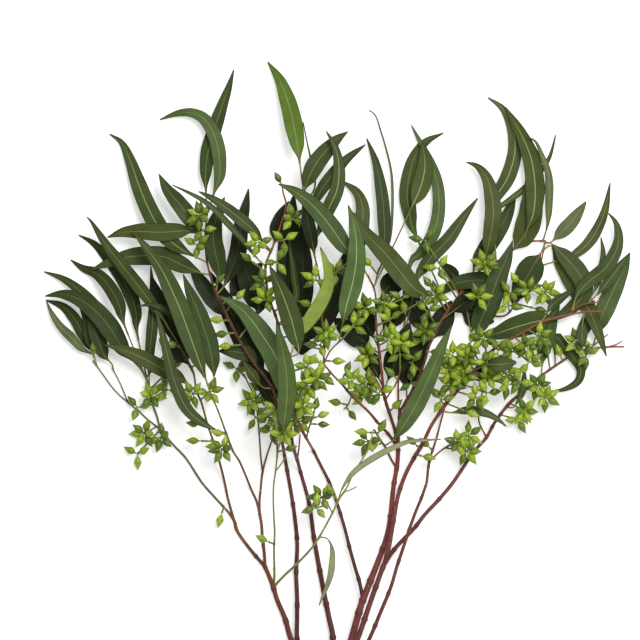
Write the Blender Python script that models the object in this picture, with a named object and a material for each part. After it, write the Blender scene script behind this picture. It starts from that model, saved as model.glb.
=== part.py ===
"""Cut eucalyptus branch with seed buds, lying on a flat surface.

One woody base carries sixteen leafy sprays and twigs. Each spray is one solid: its twigs,
sickle-shaped leaves and umbels of pointed buds are fused. The branch lies as it was laid
down: every stem, leaf and umbel is lowered, one after another, onto what already lies there.

Plan points are millimetres on a sheet seen from above, x to the right and y down.
The sheet's SHEET_CENTRE is the part's origin, and +Z is up from the surface.
"""
import math

import bpy
import numpy as np
from mathutils import Vector

MM = 0.001

# Sizes in millimetres
SHEET_CENTRE = (337.1, 410.6)
WOODY_SIDES = 5
TWIG_SIDES = 4
JOINT_GAP = 0.35
BLADE_THICKNESS = 0.8
PETIOLE_WIDTH = 1.9
PETIOLE_THICKNESS = 1.7
PETIOLE_LENGTH = 14.0
PETIOLE_SHARE = 0.6
LEAF_TIP_WIDTH = 1.0
BUD_LENGTH = 14.6
BUD_RADIUS = 4.2
PEDICEL_LENGTH = 3.2
PEDUNCLE_RADIUS = 0.9
HUB_RADIUS = 1.3
BUDS_IN_SOLID = 3
FEWEST_BUDS = 4

# How things lie on each other, in millimetres
GRID_REACH = 400.0
CELL = 1.5
CLEARANCE = 0.8
SAMPLE_STEP = 1.1
STEM_BEND = 500.0
LEAF_BEND = 140.0
STEM_ROOT_ZONE = 9.0
LEAF_ROOT_ZONE = 9.0
STEM_EASE = 40.0
LEAF_EASE = 16.0
LEAF_ARCH = 4.0
ROOT_STEP = 0.43
OWN_ZONE = 22.0
TWIG_MARGIN = 6.0
TWIG_END_RISE = 2.0
LEAF_ROOT_BACK = 0.5
UMBEL_ROOT_BACK = 0.35
ROOT_AT_TWIG = 4.0
HUB_RISE = 4.0
AXIS_OUT = 0.42
AXIS_UP = 0.8
BUD_WIDEST = 0.42
LONE_BUD_RISES = (0.33, 0.89)
LONE_BUD_BACK = 0.5

# Blade stations: share of the blade's length, share of its full width
BLADE_STATIONS = ((0.1, 0.74), (0.3, 1.0), (0.58, 0.88), (0.82, 0.5))
NARROW_STATIONS = ((0.14, 0.78), (0.4, 1.0), (0.74, 0.6))
NARROW_LEAF = 12.5

# Where an umbel's buds stand: degrees off the stalk's line, degrees round it
BUD_PLACES = ((82, 0), (82, 120), (82, 240), (62, 62), (60, 185), (66, 298), (92, 58), (96, 182), (90, 305))

# Colours: name, sRGB, roughness
BARK = ("red_brown_bark", (0.42, 0.20, 0.20), 0.6)
LEAF = ("olive_leaf", (0.27, 0.36, 0.19), 0.55)

# Woody base, from the cut end up: name, parent, diameters at both ends, plan points.
# A stub with a spray's name is the short foot that the spray stands on.
WOODY_STEMS = (
    ("trunk", None, 12.0, 10.0, ((326, 762), (325, 748), (324, 730))),
    ("left_leader", "trunk", 7.5, 4.2, ((324, 733), (320, 710), (309, 682), (299, 660), (290, 640),
                                        (285, 622), (277, 603), (273, 590), (268, 577), (264, 568))),
    ("left_fork", "left_leader", 3.8, 3.2, ((264, 568), (250, 552), (237, 534), (234, 524))),
    ("spray_far_left", "left_fork", 2.6, 2.4, ((234, 524), (229, 516), (224, 510))),
    ("spray_left", "left_fork", 2.8, 2.6, ((234, 524), (230, 511), (227, 500))),
    ("left_inner_fork", "left_leader", 3.4, 3.0, ((264, 568), (264, 557), (262, 540), (261, 526),
            (259, 515))),
    ("spray_left_inner", "left_inner_fork", 2.6, 2.4, ((259, 515), (256, 503), (251, 492))),
    ("twig_left_low", "left_inner_fork", 2.6, 2.4, ((259, 515), (259, 503), (260, 492))),
    ("twig_green_upright", "left_leader", 2.6, 2.4, ((273, 590), (274, 580), (274, 572))),
    ("twig_green_cross", "left_leader", 2.8, 2.6, ((273, 590), (279, 583), (286, 576))),
    ("spray_upper_left", "left_leader", 5.0, 3.6, ((301, 664), (297, 642), (297, 620), (297, 600),
            (296, 575), (297, 545), (294, 515), (291, 495), (288, 478), (284, 456))),
    ("spray_centre_left", "trunk", 7.0, 3.6, ((324, 733), (329, 705), (333, 670), (333, 640), (329, 620),
                                              (325, 600), (320, 574), (314, 540), (309, 505), (300, 472))),
    ("right_leader", "trunk", 9.0, 4.2, ((324, 733), (332, 708), (342, 677), (352, 640), (361, 608),
                                         (366, 595), (372, 580), (380, 560), (387, 540), (391, 520),
                                         (394, 490), (398, 466), (399, 450))),
    ("spray_centre", "right_leader", 4.0, 3.0, ((363, 602), (360, 585), (355, 568), (350, 550), (345, 530),
                                                (338, 507), (330, 485), (320, 465), (313, 451))),
    ("spray_right_far", "right_leader", 6.0, 4.0, ((342, 677), (353, 652), (362, 628), (371, 602),
            (380, 577), (388, 554), (394, 522), (399, 496), (407, 474), (416, 457))),
    ("spray_right_low", "spray_right_far", 4.4, 3.8, ((383, 568), (395, 550), (414, 530), (425, 516),
            (440, 500), (452, 486), (460, 475))),
    ("twig_right_low", "right_leader", 4.4, 3.0, ((345, 668), (358, 658), (369, 640), (381, 612),
            (391, 588), (397, 568), (403, 550), (409, 532), (415, 515), (422, 498), (427, 484))),
    ("twig_middle_low", "right_leader", 2.4, 2.2, ((397, 470), (391, 459), (387, 450))),
    ("spray_centre_top", "right_leader", 3.4, 3.2, ((399, 450), (394, 442), (388, 434))),
    ("spray_middle", "right_leader", 3.6, 3.4, ((399, 450), (397, 436), (393, 423))),
    ("spray_right_top", "right_leader", 3.8, 3.4, ((399, 450), (399, 436), (400, 421))),
)

# Sprays from the lowest to the topmost. Stems: name, diameters, plan points. Leaves: full width,
# sideways tilt in degrees, plan points to the tip. Umbels: centre, number of buds.
# A leaf or umbel starts from the nearest twig of its spray.
SPRAYS = (
    ("spray_far_left", (
        ("lead", 2.4, 2.0, ((224, 510), (212, 497), (200, 483), (185, 460), (172, 446), (160, 431),
                            (155, 416), (150, 402), (148, 388), (142, 374), (137, 366))),
        ("low_side", 1.8, 1.5, ((160, 431), (147, 421), (137, 412), (126, 403), (113, 391), (101, 375),
                                (91, 361))),
        ("tip_side", 1.6, 1.3, ((126, 403), (118, 383), (110, 368))),
    ), (
        (13, 8, ((90, 352), (80, 332), (72, 318), (60, 306), (43, 300))),
        (10, -10, ((91, 355), (80, 349), (70, 338), (58, 326), (50, 314), (44, 301))),
        (15, 6, ((91, 350), (89, 335), (86, 317), (76, 300))),
        (16, -8, ((110, 364), (103, 356), (96, 338), (86, 315))),
        (14, 10, ((128, 352), (105, 320), (82, 294), (62, 279), (41, 271))),
    ), (
        (136, 408, 3), (150, 397, 6), (166, 390, 4), (143, 434, 6), (136, 455, 3), (160, 438, 5),
        (168, 349, 3), (92, 349, 1), (178, 362, 2), (220, 519, 1),
    ), (
        (15, 8, ((135, 330), (135, 315), (130, 297), (120, 277), (105, 257), (92, 243), (76, 234))),
        (21, -8, ((137, 366), (124, 352), (110, 329), (95, 311), (78, 299), (60, 294), (43, 296))),
        (15, 10, ((123, 322), (119, 306), (112, 292), (103, 280), (93, 272), (81, 268), (68, 259))),
        (12, -12, ((149, 384), (148, 368), (149, 350), (151, 330), (152, 305), (151, 285), (149, 265))),
    )),
    ("twig_left_low", (
        ("lead", 2.4, 1.5, ((260, 492), (262, 474), (266, 458), (272, 440), (277, 425))),
        ("side", 1.8, 1.4, ((262, 474), (260, 455), (259, 440), (257, 415), (256, 402), (248, 385),
                            (243, 374))),
    ), (), (
        (252, 402, 7), (255, 418, 3), (268, 417, 7), (262, 431, 1), (236, 369, 4), (272, 432, 4),
        (262, 392, 3),
    ), ()),
    ("spray_right_low", (
        ("lead", 3.8, 1.6, ((460, 475), (471, 458), (480, 447), (488, 438), (497, 422), (512, 403),
                            (530, 388), (541, 378), (546, 374), (562, 363), (578, 353), (592, 349),
                            (613, 347), (627, 347))),
        ("side", 2.0, 1.4, ((488, 438), (480, 421), (482, 402), (484, 391))),
        ("tip_upper", 1.4, 1.2, ((592, 349), (602, 341), (611, 334))),
        ("tip_lower", 1.4, 1.2, ((608, 347), (618, 345), (625, 341))),
    ), (
        (14, 10, ((580, 351), (582, 338), (590, 320), (597, 300))),
        (12, -10, ((557, 362), (557, 336), (566, 347), (576, 358), (583, 370), (580, 382), (566, 390),
                   (551, 392))),
        (16, 8, ((544, 374), (545, 352), (549, 338), (553, 322), (562, 300))),
        (20, 7, ((598, 346), (600, 330), (606, 312), (616, 290), (626, 270), (633, 252))),
        (9, -14, ((515, 408), (521, 398), (525, 385), (526, 369))),
    ), (
        (539, 386, 6), (547, 398, 6), (525, 411, 7), (519, 420, 4), (548, 348, 2), (562, 356, 1),
        (578, 342, 5), (588, 355, 5),
    ), ()),
    ("twig_right_low", (
        ("lead", 3.0, 1.6, ((427, 484), (430, 462), (437, 440), (443, 418), (447, 404))),
        ("side", 2.0, 1.4, ((430, 462), (440, 453), (452, 445))),
    ), (), (
        (429, 447, 1), (458, 443, 7), (469, 436, 5), (467, 452, 5),
    ), ()),
    ("spray_right_top", (
        ("lead", 3.4, 1.6, ((400, 421), (401, 412), (407, 402), (416, 385), (425, 363), (430, 345),
                            (440, 324), (457, 300), (479, 272), (502, 259), (517, 248), (531, 241),
                            (548, 240))),
        ("inner", 2.2, 1.5, ((400, 421), (399, 400), (399, 381), (400, 360), (404, 340), (406, 318))),
        ("outer", 2.0, 1.4, ((457, 300), (480, 312), (505, 316), (518, 303), (533, 284), (539, 274),
                             (543, 262), (547, 242))),
    ), (
        (28, 8, ((548, 243), (543, 252), (535, 265), (525, 283), (514, 303))),
        (18, -10, ((505, 284), (489, 281), (475, 280), (455, 284), (438, 296))),
        (17, 10, ((416, 234), (411, 215), (408, 195), (410, 175), (416, 155), (427, 140), (445, 131))),
        (14, -8, ((410, 267), (420, 254), (432, 237), (438, 220), (440, 200), (438, 180), (432, 162),
                  (423, 144), (412, 123))),
        (18, 6, ((472, 279), (478, 262), (488, 247), (500, 230), (510, 212), (518, 190))),
        (16, -6, ((490, 210), (499, 193), (508, 179), (514, 163), (517, 145), (514, 126), (505, 107),
                  (489, 95))),
        (8, 30, ((495, 215), (510, 200), (527, 187), (541, 172), (552, 155), (558, 133))),
        (26, 9, ((507, 257), (517, 247), (526, 233), (532, 212), (532, 188), (528, 170))),
        (15, 8, ((552, 242), (562, 233), (573, 222), (582, 210), (589, 200))),
        (18, -8, ((485, 262), (488, 250), (492, 230), (494, 212), (492, 192), (487, 176), (478, 165),
                  (467, 161))),
        (20, 8, ((529, 227), (534, 215), (536, 200), (536, 182), (533, 160), (526, 140), (517, 122),
                 (507, 105))),
        (9, -10, ((549, 238), (549, 222), (550, 200), (550, 180), (548, 168), (543, 155), (537, 141),
                  (529, 136))),
        (18, -6, ((553, 245), (560, 258), (570, 275), (580, 292), (592, 312), (600, 333), (608, 357))),
        (24, 6, ((474, 335), (483, 318), (492, 297), (500, 275), (508, 258), (514, 240))),
        (15, -8, ((417, 280), (423, 269), (434, 254), (448, 240), (458, 226), (467, 213), (479, 197))),
        (14, 14, ((461, 288), (455, 275), (442, 262))),
        (18, -6, ((446, 318), (458, 308), (470, 300), (486, 297))),
    ), (
        (425, 240, 3), (439, 268, 3), (409, 345, 5), (412, 363, 3), (426, 331, 6), (436, 296, 6),
        (427, 281, 1), (427, 311, 3), (485, 264, 7), (478, 297, 5), (515, 277, 1), (511, 293, 4),
        (529, 290, 5), (547, 292, 7), (543, 310, 1), (429, 352, 1), (509, 305, 3), (412, 383, 3),
    ), (
        (12, 8, ((566, 258), (578, 253), (590, 243), (600, 228), (608, 208), (613, 181))),
        (20, 6, ((553, 243), (560, 250), (570, 260), (580, 272), (586, 286), (581, 300), (567, 312),
                 (550, 322))),
    )),
    ("spray_middle", (
        ("lead", 3.4, 1.6, ((393, 423), (385, 398), (382, 375), (379, 350), (376, 322), (376, 300),
                            (374, 288), (368, 275))),
        ("inner", 1.8, 1.4, ((385, 398), (378, 383), (371, 370))),
        ("outer", 1.8, 1.4, ((386, 400), (397, 382), (401, 366))),
        ("tip", 1.4, 1.2, ((374, 288), (377, 277), (379, 268))),
    ), (
        (3, 20, ((385, 255), (391, 236), (393, 205), (392, 172), (386, 145), (381, 128), (376, 113),
                 (369, 108))),
        (14, -8, ((382, 264), (385, 240), (384, 210), (381, 185), (376, 160), (367, 136))),
        (20, 8, ((414, 203), (420, 190), (424, 177), (426, 162), (423, 140))),
        (16, -9, ((359, 258), (359, 245), (362, 225), (363, 207), (357, 191), (341, 179))),
    ), (
        (366, 308, 6), (384, 304, 7), (390, 320, 3), (367, 261, 1), (387, 341, 5), (400, 343, 5),
        (400, 354, 3), (402, 299, 3), (368, 355, 6), (368, 384, 7), (365, 397, 5), (394, 376, 1),
        (394, 408, 2), (380, 391, 3),
    ), (
        (22, -7, ((423, 299), (414, 289), (402, 274), (386, 254), (368, 235), (354, 212))),
    )),
    ("spray_upper_left", (
        ("lead", 3.6, 1.6, ((284, 456), (281, 434), (277, 412), (274, 393), (267, 380), (255, 365),
                            (242, 345), (230, 322), (222, 305), (215, 291), (207, 264), (205, 245),
                            (205, 228), (207, 205))),
    ), (
        (26, -8, ((258, 312), (256, 298), (249, 280), (243, 262), (237, 246))),
        (18, 8, ((223, 287), (230, 272), (237, 254), (239, 238), (241, 222), (245, 205), (248, 187))),
        (20, 6, ((218, 289), (219, 272), (216, 256), (213, 240), (214, 225), (219, 210), (224, 196))),
        (21, -7, ((198, 272), (180, 264), (160, 256), (125, 257), (90, 269))),
        (19, 7, ((190, 254), (178, 247), (166, 237), (155, 222), (144, 200), (136, 180), (129, 160),
                 (120, 141), (107, 132))),
        (19, 7, ((191, 231), (175, 231), (160, 232), (140, 231), (122, 232), (106, 237))),
        (18, -7, ((205, 245), (197, 229), (187, 214), (176, 200), (166, 188), (158, 173))),
        (16, 10, ((205, 186), (205, 170), (207, 152), (213, 130), (221, 105), (228, 85), (233, 67))),
        (15, -10, ((214, 190), (219, 175), (219, 160), (217, 145), (212, 130), (203, 117), (190, 111),
                   (175, 112), (158, 118))),
        (12, 6, ((262, 387), (252, 374), (243, 361))),
    ), (
        (200, 216, 8), (197, 245, 4), (203, 230, 3), (241, 294, 1), (220, 320, 1), (223, 334, 1),
        (225, 346, 1), (216, 283, 1),
    ), (
        (25, -6, ((286, 402), (281, 372), (273, 352), (264, 338), (253, 322), (239, 307), (219, 296))),
    )),
    ("spray_left", (
        ("lead", 2.6, 1.5, ((227, 500), (223, 480), (218, 460), (212, 440), (207, 425), (201, 403),
                            (196, 391), (193, 373), (186, 358), (176, 341), (163, 320), (156, 307))),
    ), (
        (14, 8, ((170, 331), (158, 312), (141, 290), (130, 276), (118, 261), (105, 244), (90, 221),
                 (85, 216))),
        (11, -12, ((196, 360), (185, 332), (168, 312), (152, 305), (138, 306))),
        (17, -6, ((196, 391), (179, 378), (160, 368), (140, 357), (120, 349), (104, 345))),
    ), (
        (193, 394, 5), (209, 392, 5), (194, 424, 1), (192, 441, 1), (176, 346, 2),
    ), ()),
    ("spray_left_inner", (
        ("lead", 2.4, 1.5, ((251, 492), (240, 463), (233, 451), (226, 432), (218, 410), (212, 396),
                            (205, 376), (199, 356))),
    ), (
        (13, -10, ((226, 433), (208, 426), (188, 410), (176, 385), (169, 360), (163, 335), (156, 310))),
        (20, 8, ((214, 378), (213, 362), (209, 343), (203, 325), (196, 306), (189, 290), (183, 274))),
        (21, -7, ((207, 388), (202, 368), (192, 340), (182, 313), (172, 290), (162, 270), (148, 250),
                  (132, 231))),
    ), (
        (223, 449, 6), (211, 446, 1), (224, 434, 1),
    ), ()),
    ("spray_centre_left", (
        ("lead", 3.6, 1.6, ((300, 472), (297, 460), (293, 445), (290, 420), (288, 395), (286, 370),
                            (283, 345), (277, 320), (270, 300), (266, 280), (266, 264), (273, 246),
                            (281, 224), (286, 206), (283, 192), (282, 184))),
        ("side", 2.0, 1.4, ((297, 460), (299, 447), (300, 435))),
    ), (
        (8, 30, ((255, 256), (243, 240), (232, 228), (220, 215), (208, 204), (193, 195), (172, 185))),
        (13, -8, ((263, 242), (252, 229), (239, 218), (225, 207), (211, 198), (199, 192))),
        (8, 8, ((284, 318), (296, 298), (294, 275), (291, 255), (288, 232))),
    ), (
        (281, 183, 1), (260, 243, 5), (246, 257, 1), (264, 283, 5), (266, 300, 5), (292, 219, 5),
        (277, 262, 3), (284, 240, 3), (299, 421, 8), (294, 407, 6), (281, 424, 6),
    ), ()),
    ("spray_right_far", (
        ("lead", 4.0, 1.6, ((416, 457), (423, 443), (431, 427), (440, 413), (447, 403), (460, 388),
                            (475, 370), (487, 355), (500, 345), (520, 334), (540, 323), (555, 318),
                            (568, 315), (585, 312), (608, 311))),
        ("tip_upper", 1.6, 1.2, ((568, 315), (576, 308), (586, 304), (600, 302))),
    ), (
        (10, -14, ((452, 413), (464, 411), (476, 411), (490, 415), (500, 421), (507, 427))),
        (8, 10, ((590, 303), (600, 280), (605, 255), (603, 236))),
        (11, -8, ((592, 306), (604, 288), (618, 270), (632, 252))),
        (13, 8, ((586, 313), (583, 324), (582, 336), (584, 347))),
        (15, -8, ((575, 309), (578, 294), (590, 281), (603, 271), (614, 257), (620, 240), (618, 223),
                  (610, 212))),
        (10, 8, ((543, 322), (552, 306), (563, 297), (575, 289))),
    ), (
        (414, 443, 1), (425, 457, 1), (453, 356, 5), (450, 371, 7), (452, 384, 6), (467, 358, 6),
        (470, 345, 3), (483, 340, 7), (441, 400, 4), (476, 397, 5), (487, 393, 3), (473, 414, 1),
        (488, 376, 6), (505, 373, 5), (508, 385, 4), (519, 382, 3), (512, 352, 5), (526, 346, 7),
        (529, 362, 4), (538, 336, 5), (498, 350, 4), (464, 376, 6), (486, 362, 5),
    ), (
        (16, 8, ((476, 366), (486, 365), (500, 364), (516, 362))),
    )),
    ("spray_centre_top", (
        ("lead", 3.2, 1.8, ((388, 434), (378, 423), (368, 411), (352, 396), (342, 384), (333, 375),
                            (323, 363))),
        ("top", 2.2, 1.4, ((323, 363), (324, 345), (322, 318), (321, 290), (316, 262), (309, 235),
                           (304, 205), (303, 180))),
        ("side", 1.6, 1.3, ((323, 363), (331, 350), (345, 337))),
        ("low_side", 1.6, 1.3, ((352, 396), (348, 405), (344, 410))),
    ), (
        (2.4, 20, ((306, 204), (315, 186), (311, 160), (307, 141), (303, 120))),
        (19, 8, ((299, 157), (297, 142), (294, 126), (290, 108), (285, 92), (279, 77), (267, 59))),
        (19, 8, ((303, 200), (306, 186), (314, 167), (325, 152), (336, 140), (348, 131))),
        (13, 8, ((308, 216), (319, 194), (333, 174), (348, 158), (366, 144))),
        (15, -9, ((312, 246), (322, 225), (329, 208), (337, 190), (339, 168), (335, 147), (326, 131))),
        (14, 8, ((316, 262), (312, 240), (307, 215), (305, 192))),
    ), (
        (305, 303, 1), (325, 334, 8), (320, 345, 3), (317, 361, 1), (334, 361, 1), (336, 273, 4),
        (316, 280, 4), (348, 366, 1), (352, 381, 5), (339, 403, 1), (349, 411, 1), (353, 326, 4),
        (322, 375, 3),
    ), (
        (20, 8, ((350, 259), (341, 242), (330, 226), (317, 210), (304, 198), (292, 190), (278, 184))),
        (21, -6, ((343, 321), (347, 303), (352, 285), (356, 262), (356, 240), (353, 222), (348, 205))),
    )),
    ("spray_centre", (
        ("lead", 3.0, 1.5, ((313, 451), (306, 436), (300, 424), (295, 408), (291, 390), (289, 368),
                            (290, 352))),
        ("side", 1.8, 1.4, ((306, 436), (310, 424), (314, 414))),
    ), (), (
        (307, 385, 8), (300, 394, 5), (316, 378, 6), (308, 366, 5), (319, 415, 1), (321, 423, 1),
        (316, 403, 1), (303, 405, 6),
    ), (
        (15, 8, ((297, 338), (306, 325), (317, 309), (325, 294), (329, 278), (325, 260), (320, 247))),
        (22, 8, ((299, 352), (296, 336), (290, 314), (281, 290), (270, 266))),
    )),
    ("twig_middle_low", (
        ("lead", 2.2, 1.5, ((387, 450), (379, 438), (374, 429))),
    ), (), (
        (368, 441, 5), (378, 445, 1), (364, 432, 1), (379, 431, 2),
    ), (
        (19, -7, ((384, 447), (393, 440), (404, 424), (418, 400), (431, 372), (441, 348), (452, 325))),
    )),
    ("twig_green_upright", (
        ("lead", 2.4, 1.6, ((274, 572), (274, 550), (275, 530), (274, 508), (274, 485), (276, 470),
                            (279, 442))),
        ("side", 1.6, 1.3, ((276, 470), (281, 464), (285, 458))),
    ), (), (
        (265, 539, 1), (284, 432, 7), (289, 447, 1), (277, 408, 5),
    ), (
        (19, 8, ((284, 428), (286, 412), (288, 392), (287, 370), (283, 348), (277, 322))),
    )),
    ("twig_green_cross", (
        ("lead", 2.6, 1.4, ((286, 576), (297, 565), (310, 550), (319, 537), (332, 513), (338, 500),
                            (346, 488), (352, 475), (360, 462), (367, 450), (371, 438), (373, 429))),
        ("low_side", 1.6, 1.3, ((332, 513), (328, 505), (325, 500))),
        ("side", 1.6, 1.3, ((344, 491), (351, 490), (357, 488))),
    ), (
        (7, 14, ((319, 537), (327, 538), (332, 548), (332, 565), (329, 582), (319, 608))),
        (7, -14, ((338, 500), (343, 486), (355, 470), (377, 455), (405, 442), (422, 440), (441, 439))),
    ), (
        (322, 497, 6), (331, 490, 1), (316, 507, 3),
    ), ()),
)

# Leaves that lie under the twigs of their own spray: they fill the dark inside of the branch
UNDER_LEAVES = {
    "spray_left": (
        (20, 0, ((186, 356), (176, 336), (166, 315), (156, 294), (150, 275))),
        (20, 0, ((193, 374), (186, 362), (178, 350), (170, 336))),
    ),
    "spray_right_top": (
        (26, 6, ((405, 398), (408, 380), (414, 360), (421, 342), (426, 322))),
        (24, 0, ((430, 342), (424, 324), (415, 306), (404, 288))),
        (24, 0, ((432, 346), (438, 332), (445, 318), (453, 300))),
        (24, 0, ((452, 306), (464, 312), (478, 317), (496, 322))),
        (26, 0, ((454, 304), (464, 294), (476, 283), (490, 272))),
    ),
    "spray_middle": (
        (26, 0, ((379, 346), (370, 330), (358, 314), (343, 297))),
        (24, 0, ((380, 352), (366, 343), (350, 331), (333, 318))),
        (24, 0, ((378, 338), (388, 322), (400, 308), (412, 294))),
        (26, 0, ((384, 388), (394, 366), (402, 346), (410, 322))),
        (20, 0, ((383, 386), (377, 374), (370, 360), (362, 344))),
        (24, 0, ((377, 302), (386, 290), (396, 280), (410, 270))),
    ),
    "spray_upper_left": (
        (24, 6, ((270, 386), (258, 366), (246, 344), (234, 320), (223, 298), (208, 270))),
        (18, -8, ((232, 326), (216, 304), (204, 288), (194, 272), (188, 260))),
        (24, 4, ((222, 304), (234, 291), (247, 278), (262, 262))),
        (17, -6, ((262, 372), (250, 356), (236, 352), (218, 351))),
        (20, 0, ((277, 414), (272, 398), (264, 380), (252, 362))),
    ),
    "spray_centre_left": (
        (26, 0, ((272, 312), (283, 303), (288, 285), (289, 255), (290, 225), (294, 192))),
        (22, 6, ((278, 324), (290, 322), (301, 305), (303, 272), (302, 240), (303, 215))),
        (26, -6, ((281, 336), (299, 336), (321, 318), (335, 290), (347, 248))),
        (20, 0, ((271, 252), (276, 236), (282, 218), (289, 200))),
    ),
    "spray_centre_top": (
        (22, 0, ((324, 350), (314, 348), (303, 345), (292, 343))),
    ),
    "spray_right_far": (
        (24, 6, ((566, 316), (548, 319), (530, 323), (510, 329), (495, 334), (482, 334))),
        (22, 0, ((449, 400), (456, 382), (464, 366), (476, 348))),
        (22, 0, ((464, 384), (480, 376), (496, 366), (514, 356))),
    ),
}


def plan(point):
    """Plan point of the sheet as millimetres from the part's origin, y upwards."""
    return np.array((point[0] - SHEET_CENTRE[0], SHEET_CENTRE[1] - point[1]), dtype=float)


def cells(places):
    return ((places + GRID_REACH) / CELL).astype(int)


class Heights:
    """Height in millimetres of everything that lies there already, on a square grid.

    other holds the sprays laid before, which nothing may touch. blades and buds hold what the
    spray being laid has so far, which it may grow together with near its own twigs.
    """

    def __init__(self):
        count = int(2.0 * GRID_REACH / CELL)
        self.other = np.zeros((count, count))
        self.blades = np.zeros((count, count))
        self.buds = np.zeros((count, count))

    def needed(self, x, y, *maps):
        """Lowest underside allowed there: on the surface, or clear above what lies there."""
        column, row = cells(x), cells(y)
        below = np.max([field[column, row] for field in maps], axis=0)
        return np.where(below > 0.0, below + CLEARANCE, 0.0)

    def add(self, field, x, y, z):
        column, row = cells(x), cells(y)
        for step_x in (-1, 0, 1):
            for step_y in (-1, 0, 1):
                np.maximum.at(field, (column + step_x, row + step_y), z)

    def next_spray(self):
        """What the finished spray has now belongs to the others."""
        self.other = np.max([self.other, self.blades, self.buds], axis=0)
        self.blades[:] = 0.0
        self.buds[:] = 0.0


class Strip:
    """A stem or a leaf as sections along its middle line, each level across or tilted.

    half is the half width in plan, tilt the rise of the section's right edge, and down and up
    the depth below and above the middle line.
    """

    def __init__(self, middle, half, tilt, down, up):
        self.middle = np.array(middle)
        self.half = np.array(half, dtype=float)
        self.tilt = np.array(tilt, dtype=float)
        self.down = np.array(down, dtype=float)
        self.up = np.array(up, dtype=float)
        steps = np.diff(self.middle, axis=0)
        lengths = np.hypot(steps[:, 0], steps[:, 1])
        self.along = np.concatenate(((0.0,), np.cumsum(lengths)))
        heading = steps / lengths[:, None]
        turned = np.vstack((heading[:1], heading[:-1] + heading[1:], heading[-1:]))
        turned /= np.hypot(turned[:, 0], turned[:, 1])[:, None]
        self.heading = turned
        self.side = np.stack((turned[:, 1], -turned[:, 0]), axis=1)
        self.z = np.zeros(len(self.middle))
        self.sample()

    def sample(self):
        """Close samples over the whole strip: segment, share along it, share across it."""
        rows = []
        for index in range(len(self.middle) - 1):
            run = self.along[index + 1] - self.along[index]
            width = 2.0 * max(self.half[index], self.half[index + 1])
            shares = np.linspace(0.0, 1.0, max(3, int(run / SAMPLE_STEP) + 2))
            across = np.linspace(-1.0, 1.0, max(3, int(width / SAMPLE_STEP) + 2))
            share, offset = (grid.ravel() for grid in np.meshgrid(shares, across))
            rows.append(np.stack((np.full(len(share), index, dtype=float), share, offset)))
        index, share, offset = np.hstack(rows)
        self.first = index.astype(int)
        self.share = share
        mix = self.blend
        left = self.middle + self.side * self.half[:, None]
        right = self.middle - self.side * self.half[:, None]
        self.x = mix(left[:, 0]) * (1.0 + offset) / 2.0 + mix(right[:, 0]) * (1.0 - offset) / 2.0
        self.y = mix(left[:, 1]) * (1.0 + offset) / 2.0 + mix(right[:, 1]) * (1.0 - offset) / 2.0
        self.rise = mix(self.tilt) * offset
        self.place = mix(self.along)

    def blend(self, values):
        return values[self.first] * (1.0 - self.share) + values[self.first + 1] * self.share

    def lay(self, heights, natural, bend, root_zone, ease):
        """Lower the strip from its root onto what lies there, no sharper than the bend radius."""
        under = self.blend(self.down) - self.rise
        strict = heights.needed(self.x, self.y, heights.other) + under
        for side in (-TWIG_MARGIN, TWIG_MARGIN) if bend == STEM_BEND else ():
            beside_x = self.x + side * self.blend(self.side[:, 0])
            beside_y = self.y + side * self.blend(self.side[:, 1])
            strict = np.maximum(strict, heights.needed(beside_x, beside_y, heights.other) + under)
        loose = heights.needed(self.x, self.y, heights.blades, heights.buds) + under
        needed = np.where(self.place > OWN_ZONE, np.maximum(strict, loose), strict)
        counts = self.place > root_zone
        place, needed = self.place[counts], needed[counts]
        self.z = np.array(natural, dtype=float)
        for index in range(1, len(self.z)):
            arch = needed - (self.along[index] - place) ** 2 / (2.0 * bend)
            start = min(1.0, self.along[index] / ease)
            self.z[index] += max(0.0, arch.max() - self.z[index]) * start
        for _ in range(6):
            short = needed - self.blend(self.z)[counts]
            for index in range(1, len(self.z)):
                near = (self.first[counts] == index - 1) | (self.first[counts] == index)
                if not near.any() or short[near].max() <= 0.0:
                    continue
                lack = short[near].max()
                if index == 1:
                    share = np.where(self.first[counts] == 0, self.share[counts], 1.0)[near]
                    lack = (short[near] / np.maximum(share, 0.5)).max()
                self.z[index] += lack
                short = needed - self.blend(self.z)[counts]
        heights.add(heights.blades, self.x, self.y, self.blend(self.z + self.up) + np.abs(self.rise))

    def at(self, place):
        """Plan point and height at a distance along the strip."""
        return (np.interp(place, self.along, self.middle[:, 0]), np.interp(place, self.along, self.middle[:, 1]),
                np.interp(place, self.along, self.z))


def stem_strip(points, start, end, sides):
    middle = [plan(point) for point in points]
    lengths = np.concatenate(((0.0,), np.cumsum([np.hypot(*step) for step in np.diff(middle, axis=0)])))
    radius = start / 2.0 + (end - start) / 2.0 * lengths / lengths[-1]
    low = radius * math.cos(math.pi / sides)
    return Strip(middle, radius, np.zeros(len(radius)), low, radius), radius


def lay_stem(heights, points, start, end, sides, root_z, end_rise, trim=0.0, turn=None):
    """A stem laid down; trim takes the joint's gap off its root, turn sets its root's direction."""
    strip, radius = stem_strip(points, start, end, sides)
    if trim:
        strip.middle[0] += turn * trim
        strip.heading[0] = turn
        strip.side[0] = (turn[1], -turn[0])
    natural = root_z + (strip.down + end_rise - root_z) * strip.along / strip.along[-1]
    natural = np.maximum(natural, strip.down)
    natural[0] = root_z
    strip.lay(heights, natural, STEM_BEND, STEM_ROOT_ZONE, STEM_EASE)
    strip.radius = radius
    return strip


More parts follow.
